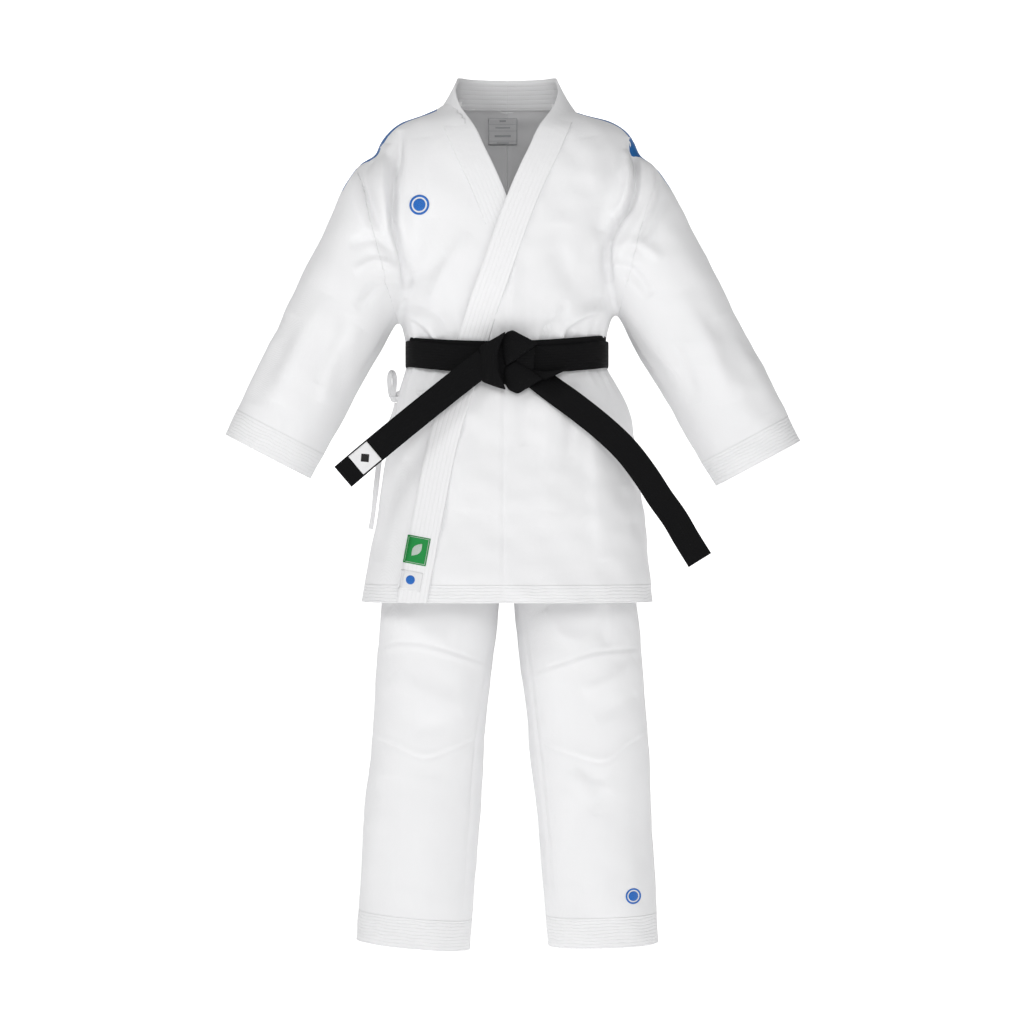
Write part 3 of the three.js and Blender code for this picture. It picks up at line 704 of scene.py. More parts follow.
def sleeve_rings(side):
    """Rings down the sleeve's axis, a little past the cuff, where the hem is cut later."""
    start, down, across, length = sleeve_axes(side)
    at = np.linspace(sleeve_at[0], length + 0.02, 44)
    half, deep = curve_through(at, sleeve_at, sleeve_half), curve_through(at, sleeve_at, sleeve_deep)
    return [(start + down * at[i], across, half[i], deep[i], deep[i], 2.3) for i in range(len(at))]


# Folds seen from the front: route in millimetres (x, z), height, width and lean of each. A height
# below 0 is a crease that sinks in.
right_folds = [
    ([(-172, -36), (-177, -90), (-179, -140), (-180, -190), (-166, -236), (-160, -290)], -15, 7, 0.35),
    ([(-188, -58), (-195, -110), (-193, -160), (-188, -210)], 8, 10, -0.3),
    ([(-206, -60), (-228, -108), (-216, -156), (-192, -208)], -8, 8, 0.3),
    ([(-224, -82), (-240, -130), (-228, -180), (-198, -240)], 6, 12, 0),
    ([(-164, -262), (-205, -246), (-242, -262)], 5, 8, 0.2),
    ([(-164, -278), (-200, -284), (-238, -322)], -5, 8, 0),
    ([(-172, -236), (-214, -212), (-248, -222)], -6, 9, 0),
    ([(-162, -330), (-138, -340), (-108, -374)], 5, 8, 0.4),
    ([(-164, -312), (-132, -318), (-100, -342), (-86, -376)], -4.5, 10, 0.3),
    ([(-132, -52), (-128, -110), (-122, -180)], 2.4, 20, 0),
    ([(-60, -205), (-98, -262), (-120, -320), (-112, -370)], 3.2, 16, 0.3),
    ([(-98, -232), (-128, -262), (-156, -272)], -3.5, 14, 0),
    ([(-250, -330), (-262, -380), (-300, -440)], -4, 18, 0.2),
    ([(-285, -300), (-330, -390), (-365, -470)], 4, 20, 0.2),
    ([(-232, -352), (-270, -402), (-292, -470)], 4, 12, 0.2),
    ([(-340, -330), (-372, -400), (-404, -470)], -3.5, 18, 0),
    ([(-150, -420), (-158, -480), (-160, -560)], 3, 12, 0.3),
    ([(-182, -500), (-192, -600), (-204, -720)], -3.5, 11, 0.2),
]
left_folds = [
    ([(198, -46), (207, -95), (206, -125), (196, -160), (174, -192), (162, -220), (163, -280)],
     -15, 7, -0.35),
    ([(188, -68), (192, -110), (184, -150), (168, -180)], 8, 10, 0.3),
    ([(224, -80), (230, -120), (216, -170), (190, -215), (172, -252)], 8, 10, 0),
    ([(238, -98), (246, -140), (228, -190), (196, -242)], -6, 10, 0),
    ([(164, -250), (196, -262), (228, -302)], -6, 9, 0),
    ([(168, -224), (206, -220), (242, -246)], 5, 9, 0.2),
    ([(84, -376), (96, -350), (122, -332), (160, -326)], 6.5, 8, 0.4),
    ([(90, -312), (92, -345), (98, -376)], -4.5, 8, 0),
    ([(58, -376), (68, -352), (92, -336)], -3.5, 8, 0),
    ([(28, -175), (16, -230), (8, -290), (6, -366)], 2.6, 9, 0.4),
    ([(84, -190), (86, -240), (112, -290), (140, -318)], -3.5, 18, 0),
    ([(128, -52), (138, -100), (134, -160)], 2.4, 20, 0),
    ([(150, -200), (140, -250), (150, -300)], 3.5, 15, 0),
    ([(270, -300), (318, -380), (352, -470)], 4, 20, -0.2),
    ([(240, -335), (275, -400), (300, -470)], -4, 13, 0),
    ([(345, -330), (380, -420), (410, -490)], -3.5, 20, 0),
    ([(-5, -405), (-5, -600), (-6, -800)], -1.6, 2.6, 0),
    ([(60, -425), (66, -520), (60, -640)], 2.8, 20, 0.2),
    ([(120, -425), (134, -500), (140, -600), (150, -720)], 4, 18, 0.3),
    ([(158, -430), (176, -500), (184, -600)], -5, 10, 0),
    ([(178, -470), (192, -560), (196, -660)], 3.4, 11, 0),
    ([(-60, -430), (-66, -520), (-80, -640)], 2, 18, 0),
    ([(96, -425), (100, -500), (96, -560)], -3, 11, 0),
    ([(20, -425), (24, -470), (26, -540)], -2.4, 10, 0),
]
# Folds of the back, for the wearer's left half; the right half mirrors them.
back_folds = [
    ([(1, 10), (1, -300), (1, -800)], -1.6, 3, 0),
    ([(174, -50), (180, -140), (172, -230), (162, -290)], -13, 8, -0.3),
    ([(198, -70), (208, -150), (190, -236)], 8, 12, 0),
    ([(156, -326), (122, -342), (84, -376)], 5.5, 9, 0.3),
    ([(96, -290), (70, -326), (52, -376)], -4.5, 11, 0),
    ([(40, -60), (70, -180), (90, -300)], 3, 24, 0),
    ([(20, -376), (26, -340), (44, -300)], 3, 9, 0),
    ([(60, -420), (70, -520), (78, -700)], 4.5, 18, 0.2),
    ([(112, -420), (134, -540), (150, -740)], -5, 16, 0),
    ([(20, -420), (26, -560), (28, -760)], -3.5, 15, 0),
    ([(162, -430), (186, -560), (200, -720)], 4.5, 14, 0),
    ([(250, -300), (300, -400), (350, -500)], 4, 20, 0),
    ([(240, -340), (270, -420), (300, -500)], -4, 14, 0),
]


def gather(piece, depth, waves, seed):
    """Small pleats that run into the belt from above and below."""
    points, normals = points_of(piece), points_of(piece, "normal")
    over, under = belt_z + 0.018, belt_z - 0.018
    near = (np.exp(-np.maximum(points[:, 2] - over, 0) / 0.024)
            * np.exp(-np.maximum(under - points[:, 2], 0) / 0.034))
    turn = np.arctan2(points[:, 1], points[:, 0])
    ripple = np.sin(turn * waves + seed) * np.sin(turn * waves * 0.37 + 2 * seed)
    move_points(piece, points + normals * (depth * near * ripple)[:, None])


# Ends of the seam between body and sleeve in the front view, on the wearer's left, and the hole
# for the neck seen from above: an ellipse, a little behind the middle.
armpit, seam_top = np.array((0.172, -0.350)), np.array((0.238, -0.09))
neck_half, neck_deep, neck_shift = 0.099, 0.066, 0.005


def jacket_half(name, side, lift, folds):
    """The body tube and the sleeve tube melted together, relaxed, and trimmed; then cut along the
    shoulder drop into a body half and a sleeve, both folded alike so that they meet."""
    whole = joined(name, closed_tube(name, body_rings(lift)), closed_tube(name + "_arm", sleeve_rings(side)))
    baked(whole, "REMESH", mode="VOXEL", voxel_size=voxel)
    relax(whole, 7)
    start, down, _, length = sleeve_axes(side)
    seam_run = (seam_top - armpit) * (side, 1)
    seam_way = unit(np.array((side * abs(seam_run[1]), -abs(seam_run[0]))))
    seam_place = np.array((side * armpit[0], 0, armpit[1]))
    seam_normal = np.array((seam_way[0], 0, seam_way[1]))

    def on_arm(c):
        beside = side * c[:, 0] > armpit[0] + 0.008 + 0.30 * (armpit[1] - c[:, 2])
        beyond = (c - seam_place) @ seam_normal > 0
        return np.where(c[:, 2] < armpit[1], beside, beyond & (side * c[:, 0] > 0.1))

    def in_half(c):
        past_edge = (c[:, 1] < 0) & (side * c[:, 0] < side * np.interp(
            c[:, 2], free_edge[::-1, 1], side * free_edge[::-1, 0]) + 0.012 * (c[:, 2] < 0.0))
        past_back = (c[:, 1] >= 0) & (side * c[:, 0] < -0.02)
        in_neck = (c[:, 2] > -0.035) & (
            (c[:, 0] / neck_half) ** 2 + ((c[:, 1] - neck_shift) / neck_deep) ** 2 < 1)
        return ~(past_edge | past_back | in_neck)

    cut_plane(whole, (0, 0, hem_z), (0, 0, -1))
    cut_plane(whole, start + down * length, down, lambda c: np.abs(c[:, 0]) > 0.28)
    cut_plane(whole, (0, 0, 0), (-side, 0, 0), lambda c: c[:, 1] > 0.02)
    keep_faces(whole, in_half)
    cut_plane(whole, seam_place, seam_normal,
              lambda c: (c[:, 2] > armpit[1]) & (side * c[:, 0] > 0.1), drop=False)
    sleeve = copy_of(whole, name.replace("half", "sleeve"))
    keep_faces(whole, lambda c: ~on_arm(c))
    keep_faces(sleeve, on_arm)
    mirrored = [([(side * x, z) for x, z in route], h, w, lean * side) for route, h, w, lean in back_folds]
    for piece, finish in ((whole, body_canvas), (sleeve, sleeve_canvas)):
        tidy_mesh(piece)
        baked(piece, "SUBSURF", levels=1, render_levels=1)
        ruffle(piece, 0.0015, 0.16, 3 + side)
        ruffle(piece, 0.0006, 0.05, 9 + side)
        press_folds(piece, folds, -1)
        press_folds(piece, mirrored, 1)
        gather(piece, 0.0026, 33, side)
        places = points_of(piece)
        edge = places[:, 2] - hem_z if piece is whole else length - (places - start) @ down
        set_attribute(piece, "edge", edge)
        piece.data.materials.clear()
        piece.data.materials.append(finish)
        baked(piece, "SOLIDIFY", thickness=cloth_thick, offset=-1.0)
    return whole, sleeve, seam_place, seam_normal


joint_at = {joint["child"]: np.array(joint["pos_m"])
            for joint in frame["joints"] if joint["type"] == "hinge"}
left_lift = 0.0065
jacket = {}
for word, side, lift, folds in (("right", -1, 0.0, right_folds), ("left", 1, left_lift, left_folds)):
    half, sleeve, seam_place, seam_normal = jacket_half(f"jacket_{word}_half", side, lift, folds)
    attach(half, "jacket")
    pivot = joint_at[f"sleeve_{word}"]
    reach = (pivot - seam_place) @ seam_normal
    start, end = pivot - seam_normal * reach, pivot + seam_normal * 0.05
    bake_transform(sleeve)
    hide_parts(f"front_panel_{word}", f"shoulder_yoke_{word}", f"hem_band_{word}",
                f"vent_patch_{word}")
    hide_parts(f"sleeve_{word}", f"cuff_band_{word}", f"underarm_gusset_{word}")
    jacket[side] = half, sleeve, tuple(start), tuple(end)
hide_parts("back_panel", "hem_band_back")

# ---- Lapels and collar ------------------------------------------------------------------------
# One long band of folded canvas, sewn through in rows, that runs up one front, round the neck and
# down the other front. It stands up behind the neck, and its upper stretches pucker.


def lapel_finish(name, pitch):
    """Canvas band by its own cloth map: rows along it, and slanted puckers where the band is up
    round the neck and chest, by its own pucker attribute. The sunken rows and the puckered stretch
    are darkened with painted shade."""
    finish = Finish(name, 0.88, 0.12)
    where, across, along, _ = finish.on_cloth()
    pucker = finish.node("ShaderNodeAttribute", {"attribute_name": "pucker"}, output=2)
    fibre = finish.noise(where, 800.0)
    cloud = finish.noise(where, 9.0, 3.0)
    rows = finish.wave(across, pitch).math("POWER", 5.0) * (1 - pucker * 0.8)
    stitch = finish.wave(along, 0.0032) * 0.4 + 0.6
    crimp = finish.noise(where, 90.0, 3.0)
    height = fibre * 0.12 - rows * stitch * 0.35 + crimp * pucker * 0.6
    # Painted shade: the sunken stitch rows and a mottle on the puckered stretch are darkened; cloud and fibre
    # are random tone.
    shade = rows * 0.22 + cloud * 0.15 + fibre * 0.12 + pucker * crimp * 0.25
    return finish.finish(finish.mix(shade * 0.6, cotton_white, shade_of(cotton_white, 0.8)), height, 0.0010)


band_canvas = lapel_finish("lapel_canvas", 0.0066)
lapel_width, lapel_thick = 0.047, 0.0052

# The band's two edges round the neck, from the centre back to where it lies on the chest:
# the free edge, then the sewn edge.
neck_free = np.array([(0, 58, 53), (34, 54, 53.5), (60, 40, 53.5), (75, 18, 53), (80, -8, 48),
                      (83, -30, 30), (78, -50, 10)]) / 1000
neck_sewn = np.array([(0, 75, 4), (44, 69, 4), (80, 50, 3), (104, 22, 1), (111, -8, -5),
                      (110, -40, -14), (105, -62, -24)]) / 1000


def lapel_edges(lift):
    """Free and sewn edges of the wearer's left lapel, as matching curves from neck to hem: round
    the neck as given, then on the front, a band's width apart."""
    front = smooth_path(free_edge[1:-1], 90)
    along = unit(np.gradient(front, axis=0))
    sewn = front + together(-along[:, 1], along[:, 0]) * lapel_width
    edges = []
    for neck, line in ((neck_free, front), (neck_sewn, sewn)):
        places = together(line[:, 0], front_y(line[:, 0], line[:, 1], lift), line[:, 1])
        edges.append(smooth_path(np.concatenate([neck, places[2::3]]), 760))
    return edges


def close_cuts(piece):
    """Fills the open ends that a cut leaves, away from the middle of the back."""
    work = bmesh.new()
    work.from_mesh(piece.data)
    rim = [e for e in work.edges if e.is_boundary and e.verts[0].co.z < -0.5]
    bmesh.ops.holes_fill(work, edges=rim, sides=0)
    work.to_mesh(piece.data)
    work.free()


pucker_pitch, broad_pitch, pucker_rise = 0.0072, 0.0113, 0.0005


def lapel(name, side, lift):
    """A closed band between the two edges: the outer face stands a band's thickness proud of the
    inner one, both are rounded off at the edges, and the neck stretch is puckered."""
    free, sewn = lapel_edges(lift)
    share = np.linspace(0, 1, 20)[None, :, None]
    flat = free[:, None] * (1 - share) + sewn[:, None] * share
    on_front = smooth_step(0.0, -0.05, flat[..., 2])
    flat[..., 1] = flat[..., 1] * (1 - on_front) + on_front * front_y(flat[..., 0], flat[..., 2], lift)
    along = np.gradient(flat, axis=0)
    out = unit(np.cross(np.broadcast_to(sewn[:, None] - free[:, None], flat.shape), along))
    out[0, :, 0] = 0
    run = distance_along((free + sewn) / 2)[:, None]
    width = share[..., 0] * lapel_width + 0 * run
    pucker = (1 - smooth_step(0.24, 0.42, run)) * smooth_step(0.07, 0.12, run) + 0 * width
    slant = run - 0.55 * width
    ripple = np.sin(slant * 2 * math.pi / pucker_pitch + 1.5 * np.sin(width * 140 + run * 21))
    ripple = ripple * (0.6 + 0.4 * np.sin(run * 93 + width * 60)) * np.sin(math.pi * share[..., 0]) ** 0.5
    ripple = ripple + 0.6 * np.sin(slant * 2 * math.pi / broad_pitch + 2.0)
    bulk = (1 - np.abs(2 * share[..., 0] - 1) ** 10) ** 0.5
    thick = lapel_thick * pinch(flat[..., 2]) * (0.25 + 0.75 * bulk)
    outer = flat + out * (thick + pucker_rise * ripple * pucker)[..., None]
    ring = np.concatenate([outer, flat[:, ::-1]], axis=1) * (side, 1, 1)
    u = np.concatenate([width, width[:, ::-1]], axis=1)
    piece = grid_mesh(name, ring, close_u=True, uv=together(u, run))
    set_attribute(piece, "pucker", np.concatenate([pucker, pucker], axis=1).ravel())
    piece.data.materials.append(band_canvas)
    return piece


lapel_band = joined("lapel_band", lapel("lapel_band", 1, left_lift + 0.0024),
                    lapel("lapel_under", -1, 0.0020))
cut_plane(lapel_band, (0, 0, hem_z + 0.0006), (0, 0, -1))
close_cuts(lapel_band)
tidy_mesh(lapel_band, 1e-5)
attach(lapel_band, "jacket")
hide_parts("lapel_left", "lapel_right", "collar")

# ---- Belt -------------------------------------------------------------------------------------
# One long black belt, 42 mm wide, sewn through in nine rows. It goes twice round the waist, is
# tied in a flat square knot in front, and its two ends hang from the knot.

belt_black = (0.0032, 0.0032, 0.0036)
belt_cloth = row_finish("belt_cotton", belt_black, 0.0042, 0.5, 0.8, 0.0, 0.0009, 0.12)
belt_width, belt_thick, wrap_fullness = 0.042, 0.0036, 2.6


def belt_wrap(name, node, rise, dip):
    """A level loop round the waist inside its node's box, its front sagging by dip in the middle
    and rising by rise towards the wearer's left."""
    box_low, box_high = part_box(node)
    half = (box_high[0] - box_low[0] - belt_thick) / 2
    deep = (box_high[1] - box_low[1] - belt_thick) / 2
    turn = np.linspace(0, 2 * math.pi, 220)
    c, s = np.cos(turn), np.sin(turn)
    x, y = squarish(c, wrap_fullness) * half, squarish(s, wrap_fullness) * deep
    front = smooth_step(0.1, -0.6, s)
    z = (box_low[2] + box_high[2]) / 2 - dip * front * (1 - (x / half) ** 2) + rise * front * x / half
    path = together(x, y, z)
    outward = unit(together(x / half**2, y / deep**2, 0))
    return strip(name, path, outward, belt_width, belt_thick, belt_cloth, 28)


wrap_inner = belt_wrap("belt_inner_loop", "belt_wrap_inner", 0.002, 0.010)
wrap_outer = belt_wrap("belt_outer_loop", "belt_wrap_outer", -0.0008, 0.0125)
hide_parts("belt_wrap_inner")
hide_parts("belt_wrap_outer")


def rounded_outline(corners, cut, steps):
    """A closed outline with each corner swapped for a parabola of steps points, which leaves one
    side and meets the next a cut away from the corner."""
    before, after = unit(np.roll(corners, 1, 0) - corners), unit(np.roll(corners, -1, 0) - corners)
    start, end = corners + before * cut, corners + after * cut
    t = np.linspace(0, 1, steps)[None, :, None]
    curve = (1 - t) ** 2 * start[:, None] + 2 * t * (1 - t) * corners[:, None] + t**2 * end[:, None]
    return curve.reshape(-1, 2)


def spaced_outline(outline, count, keep_corners=False):
    """count points evenly along a closed outline, with its own points among them if asked."""
    closed = np.concatenate([outline, outline[:1]])
    along = distance_along(closed)
    at = np.linspace(0, along[-1], count, endpoint=False)
    if keep_corners:
        at = np.unique(np.r_[at, along[:-1]])
    return together(*(np.interp(at, along, closed[:, k]) for k in (0, 1)))


def knot_slab(name, outline, depth, lean, crown, turn, thick=0.007):
    """A folded layer of the knot: a corner-by-corner outline in the front view, filled by rings
    that shrink to its middle, puffed by crown, leaning by lean metres forward for each metre
    (right, up), its stitch rows turned by turn degrees."""
    corners = np.array(outline) / 1000
    sides = np.linalg.norm(corners - np.roll(corners, 1, 0), axis=1)
    cut = np.minimum(0.0035, 0.3 * np.minimum(sides, np.roll(sides, -1)))[:, None]
    ring = spaced_outline(rounded_outline(corners, cut, 6), 128)
    centre = ring.mean(0)
    share = np.r_[np.linspace(0, 0.9, 14), 0.94, 0.97, 0.99, 1.0][:, None, None]
    flat = centre + (ring - centre)[None] * share
    edge_round = 0.0022 * (np.sqrt(np.maximum(1 - share[..., 0] ** 12, 0)) - 1)
    puff = crown * (1 - share[..., 0] ** 2) + edge_round
    tilt = (flat - centre) @ np.array(lean)
    face = together(flat[..., 0], depth - puff - tilt, flat[..., 1])
    back = face[::-1] + np.array((0, thick, 0))
    points = np.concatenate([face, back])
    c, s = math.cos(math.radians(turn)), math.sin(math.radians(turn))
    local = points[..., [0, 2]] - centre
    piece = grid_mesh(name, points, close_u=True, uv=together(local @ (-s, c), local @ (c, s)))
    piece.data.materials.append(belt_cloth)
    return tidy_mesh(piece)


knot_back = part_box("belt_knot_core")[1][1]
knot_under = knot_slab(
    "knot_core", [(-36, -386), (0, -368), (44, -384), (42, -420), (12, -446), (-34, -436)],
    knot_back - 0.010, (0, 0), 0.0, 0, 0.008)
flap_left = knot_slab(
    "knot_left_flap", [(-42, -383), (-18, -370), (-1, -360), (-9, -374), (-14, -396), (-12, -420), (-7, -440),
                       (-1, -452), (-18, -447), (-39, -439), (-46, -410)],
    knot_back - 0.0215, (0.28, 0), 0.0045, 92)
facet_top = knot_slab(
    "knot_top_facet", [(-7, -368), (0, -361), (9, -358), (49, -379), (12, -406), (-2, -415), (-6, -396)],
    knot_back - 0.0175, (0.06, 0.05), 0.003, -32)
facet_low = knot_slab(
    "knot_low_facet", [(-4, -418), (12, -406), (38, -421), (56, -435), (17, -458), (3, -452), (-4, -440)],
    knot_back - 0.0150, (0.02, -0.06), 0.003, 32)
tuck = knot_slab(
    "knot_tuck", [(34, -419), (60, -423), (98, -418), (60, -436), (50, -436)],
    knot_back - 0.006, (-0.02, 0), 0.001, 8)
for piece in (knot_under, flap_left, facet_top, facet_low, tuck):
    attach(piece, "jacket")
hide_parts("belt_knot_core")
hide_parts("belt_knot_wrap")
for piece in (wrap_inner, wrap_outer):
    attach(piece, "jacket")

tail_tilt = math.radians(5.5)


def belt_end(name, word, route, wave, twist):
    """A hanging belt end and its path: a strip along a route of (right, up) places in millimetres
    from its joint, in the plane that leans forward from the knot, with a slow wave out of it."""
    pivot = joint_at[f"belt_end_{word}"]
    flat = smooth_path(np.array(route) / 1000, 90)
    share = np.linspace(0, 1, len(flat))
    drop = flat[:, 1]
    path = pivot + together(flat[:, 0], drop * math.sin(tail_tilt), drop)
    path[:, 1] -= wave * np.sin(share * math.pi * 1.6) * share
    outward = together(np.sin(twist * share), -np.cos(twist * share), 0)
    return strip(name, path, outward, belt_width * 0.985, belt_thick * 1.1, belt_cloth, 28), path


end_right, right_path = belt_end(
    "belt_end_right_tail", "right",
    [(8, 6), (-35, -27), (-70, -55), (-145, -116), (-181, -146), (-216, -176)], 0.002, 0.05)
end_left, _ = belt_end(
    "belt_end_left_tail", "left",
    [(-8, 11), (10, -4), (34, -22), (66, -46), (104, -77), (136, -108), (166, -147), (190, -184),
     (212, -215), (230, -246), (251, -280)], 0.003, -0.06)
# The wearer's left end comes out from behind the belt: above tuck_low it bends back, and from
# tuck_high up it follows the wrap's own curve, whose front lies under_belt metres forward.
tuck_low, tuck_high, under_belt = -0.452, -0.428, 0.1105
places = points_of(end_left)
hang = joint_at["belt_end_left"]
plane_y = hang[1] + (places[:, 2] - hang[2]) * math.sin(tail_tilt)
wrap_share = np.clip(np.abs(places[:, 0]) / (belt_box[1][0] - belt_thick / 2), 0, 1)
wrap_y = -under_belt * (1 - wrap_share**wrap_fullness) ** (1 / wrap_fullness)
tucked = smooth_step(tuck_low, tuck_high, places[:, 2])
move_points(end_left, places + together(0, tucked * (wrap_y - plane_y), 0))
for piece, word in ((end_right, "right"), (end_left, "left")):
    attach(piece, f"belt_end_{word}")
    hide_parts(f"belt_end_{word}")

# ---- Trousers ---------------------------------------------------------------------------------
# Straight legs of the same canvas with a doubled panel over each knee and a deep hem, joined to a
# full seat that gathers into an elastic waistband hidden under the jacket.

hem_depth = 0.048
trouser_canvas = canvas("trouser_canvas", hem_depth)
seat_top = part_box("seat_front")[1][2]
hip_z = joint_at["leg_left"][2]
leg_z = np.array([-480, -560, -640, -700, -790, -881, -957, -1013, -1126, -1183, -1280, -1360]) / 1000
leg_outer = {-1: np.array([172, 186, 190, 195, 201, 209, 214, 218, 228, 231, 237, 241]) / 1000,
             1: np.array([172, 186, 190, 197, 208, 217, 223, 227, 232, 235, 240, 244]) / 1000}
leg_inner = {-1: np.array([12, 4, 6, 9, 12, 23, 31, 36, 44, 47, 54, 60]) / 1000,
             1: np.array([12, 4, 6, 8, 11, 21, 31, 36, 48, 53, 61, 66]) / 1000}
leg_deep = np.array([82, 90, 93, 92, 91, 90, 88, 87, 85, 84, 83, 82]) / 1000
trouser_hems = {-1: ((-0.239, -1.325), (-0.058, -1.341)), 1: ((0.064, -1.335), (0.243, -1.329))}


def leg_rings(side):
    """Rings down one leg, from inside the seat to below its hem."""
    z = np.linspace(leg_z[0], leg_z[-1], 110)
    outer, inner = curve_through(z, leg_z, leg_outer[side]), curve_through(z, leg_z, leg_inner[side])
    deep = curve_through(z, leg_z, leg_deep)
    return [((side * (outer[i] + inner[i]) / 2, 0, z[i]), (1, 0, 0), (outer[i] - inner[i]) / 2,
             deep[i], deep[i], 2.3) for i in range(len(z))]


seat_z = np.array([-380, -400, -440, -500, -562, -600, -622]) / 1000
seat_half = np.array([136, 137, 150, 168, 182, 178, 150]) / 1000
seat_deep = np.array([89, 90, 95, 99, 101, 96, 70]) / 1000


def seat_rings():
    """Rings down the seat, from above the waistband to inside the legs."""
    z = np.linspace(seat_z[0], seat_z[-1], 40)
    half, deep = curve_through(z, seat_z, seat_half), curve_through(z, seat_z, seat_deep)
    return [((0, 0, z[i]), (1, 0, 0), half[i], deep[i], deep[i], 2.45) for i in range(len(z))]


# Folds of the trousers' front, then of their back on both sides alike. The four pairs of long
# shallow ones are the edges of the knee panels: a groove with a low ridge beside it.
leg_folds = [
    ([(-201, -858), (-172, -849), (-143, -849), (-90, -862), (-31, -884)], -1.1, 2.6, 0),
    ([(-201, -864), (-172, -856), (-143, -856), (-90, -869), (-31, -891)], 0.8, 5, 0),
    ([(-214, -1000), (-172, -1016), (-131, -1032), (-90, -1020), (-38, -998)], -1.1, 2.6, 0),
    ([(-214, -993), (-172, -1009), (-131, -1025), (-90, -1013), (-38, -991)], 0.8, 5, 0),
    ([(38, -897), (90, -880), (141, -864), (180, -861), (226, -859)], -1.1, 2.6, 0),
    ([(38, -904), (90, -887), (141, -871), (180, -868), (226, -866)], 0.8, 5, 0),
    ([(44, -1006), (100, -1026), (159, -1038), (190, -1014), (232, -992)], -1.1, 2.6, 0),
    ([(44, -999), (100, -1019), (159, -1031), (190, -1007), (232, -985)], 0.8, 5, 0),
    ([(-26, -862), (-48, -1000), (-60, -1150), (-71, -1300)], -1.6, 3, 0),
    ([(25, -802), (44, -960), (62, -1130), (75, -1300)], -1.6, 3, 0),
    ([(112, -1040), (136, -1062), (160, -1066)], -1.9, 10, 0.2),
    ([(100, -1052), (128, -1088), (140, -1098)], 1.7, 12, 0),
    ([(132, -1118), (150, -1098), (158, -1080)], -1.6, 10, 0),
    ([(204, -880), (160, -910), (120, -926)], 3, 14, 0.2),
    ([(206, -930), (176, -950), (140, -968)], -2.5, 12, 0),
    ([(-190, -800), (-150, -830), (-90, -846)], 2, 16, 0),
    ([(60, -796), (80, -830), (120, -852)], 2.5, 14, 0),
    ([(156, -790), (150, -830), (158, -856)], -2.5, 10, 0),
    ([(-180, -900), (-120, -940), (-60, -950)], 2.2, 22, 0),
    ([(-70, -960), (-110, -980), (-150, -984)], -2, 14, 0),
    ([(-120, -1060), (-132, -1180), (-140, -1290)], 2.6, 26, 0),
    ([(-186, -1060), (-196, -1180), (-206, -1290)], -2.2, 18, 0),
    ([(150, -1120), (150, -1210), (160, -1290)], 2.4, 26, 0),
    ([(212, -1060), (214, -1160), (222, -1270)], -2, 16, 0),
    ([(96, -1120), (100, -1200), (108, -1290)], -2, 16, 0),
]
leg_back_folds = [([(side * x, z) for x, z in route], *rest) for route, *rest in (
    ([(30, -700), (50, -960), (78, -1300)], -1.6, 3, 0),
    ([(60, -900), (110, -930), (180, -920)], -4.5, 12, 0.2),
    ([(70, -950), (120, -985), (200, -980)], 4, 14, 0),
    ([(120, -1030), (140, -1160), (150, -1290)], 3, 24, 0),
    ([(40, -560), (90, -640), (150, -700)], -4, 14, 0),
) for side in (-1, 1)]
leg_back_folds.append(([(0, -390), (0, -500), (0, -600)], -1.8, 3, 0))


def trousers_whole():
    """The seat tube and both leg tubes melted together, relaxed, and trimmed at waist and hems."""
    whole = joined("trousers_cloth", closed_tube("seat", seat_rings()),
                   closed_tube("leg_a", leg_rings(-1)), closed_tube("leg_b", leg_rings(1)))
    baked(whole, "REMESH", mode="VOXEL", voxel_size=voxel)
    relax(whole, 7)
    cut_plane(whole, (0, 0, seat_top), (0, 0, 1))
    for side in (-1, 1):
        (x0, z0), (x1, z1) = trouser_hems[side]
        normal = unit(np.array((z1 - z0, 0, x0 - x1)))
        cut_plane(whole, (x0, 0, z0), normal, lambda c: (side * c[:, 0] > 0) & (c[:, 2] < -1.2))
    return whole


def trouser_part(name, whole, keep, cuts):
    """One part of the trousers, cut out, folded and given its thickness."""
    part = copy_of(whole, name)
    for place, normal, among in cuts:
        cut_plane(part, place, normal, among)
    keep_faces(part, keep)
    tidy_mesh(part)
    baked(part, "SUBSURF", levels=1, render_levels=1)
    ruffle(part, 0.0011, 0.18, 21)
    ruffle(part, 0.0004, 0.05, 22)
    press_folds(part, leg_folds, -1)
    press_folds(part, leg_back_folds, 1)
    places, normals = points_of(part), points_of(part, "normal")
    turn = np.arctan2(places[:, 1], places[:, 0])
    gathered = np.exp(-np.maximum(seat_top - places[:, 2], 0) / 0.05)
    pleats = np.sin(turn * 47) * np.sin(turn * 13 + 1) + 0.5 * np.sin(turn * 71 + 2)
    move_points(part, places + normals * (0.0028 * gathered * pleats)[:, None])
    places = points_of(part)
    edge = np.full(len(places), 1.0)
    for side in (-1, 1):
        (x0, z0), (x1, z1) = trouser_hems[side]
        line = z0 + (places[:, 0] - x0) * (z1 - z0) / (x1 - x0)
        edge = np.where(side * places[:, 0] > 0, places[:, 2] - line, edge)
    set_attribute(part, "edge", edge)
    part.data.materials.clear()
    part.data.materials.append(trouser_canvas)
    return baked(part, "SOLIDIFY", thickness=cloth_thick, offset=-1.0)


whole_trousers = trousers_whole()
flat_hip = (0, 0, hip_z)
seat = trouser_part("trouser_seat", whole_trousers, lambda c: c[:, 2] > hip_z,
                    [(flat_hip, (0, 0, -1), None)])
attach(seat, "trousers")
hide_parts("seat_front", "seat_back", "crotch_gusset")
legs = {}
for word, side in (("right", -1), ("left", 1)):
    legs[side] = trouser_part(
        f"trouser_leg_{word}", whole_trousers, lambda c: (c[:, 2] < hip_z) & (side * c[:, 0] > 0),
        [(flat_hip, (0, 0, 1), None), ((0, 0, 0), (-side, 0, 0), None)])
    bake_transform(legs[side])
    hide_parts(f"leg_{word}", f"knee_panel_{word}", f"trouser_hem_{word}")
bpy.data.objects.remove(whole_trousers)

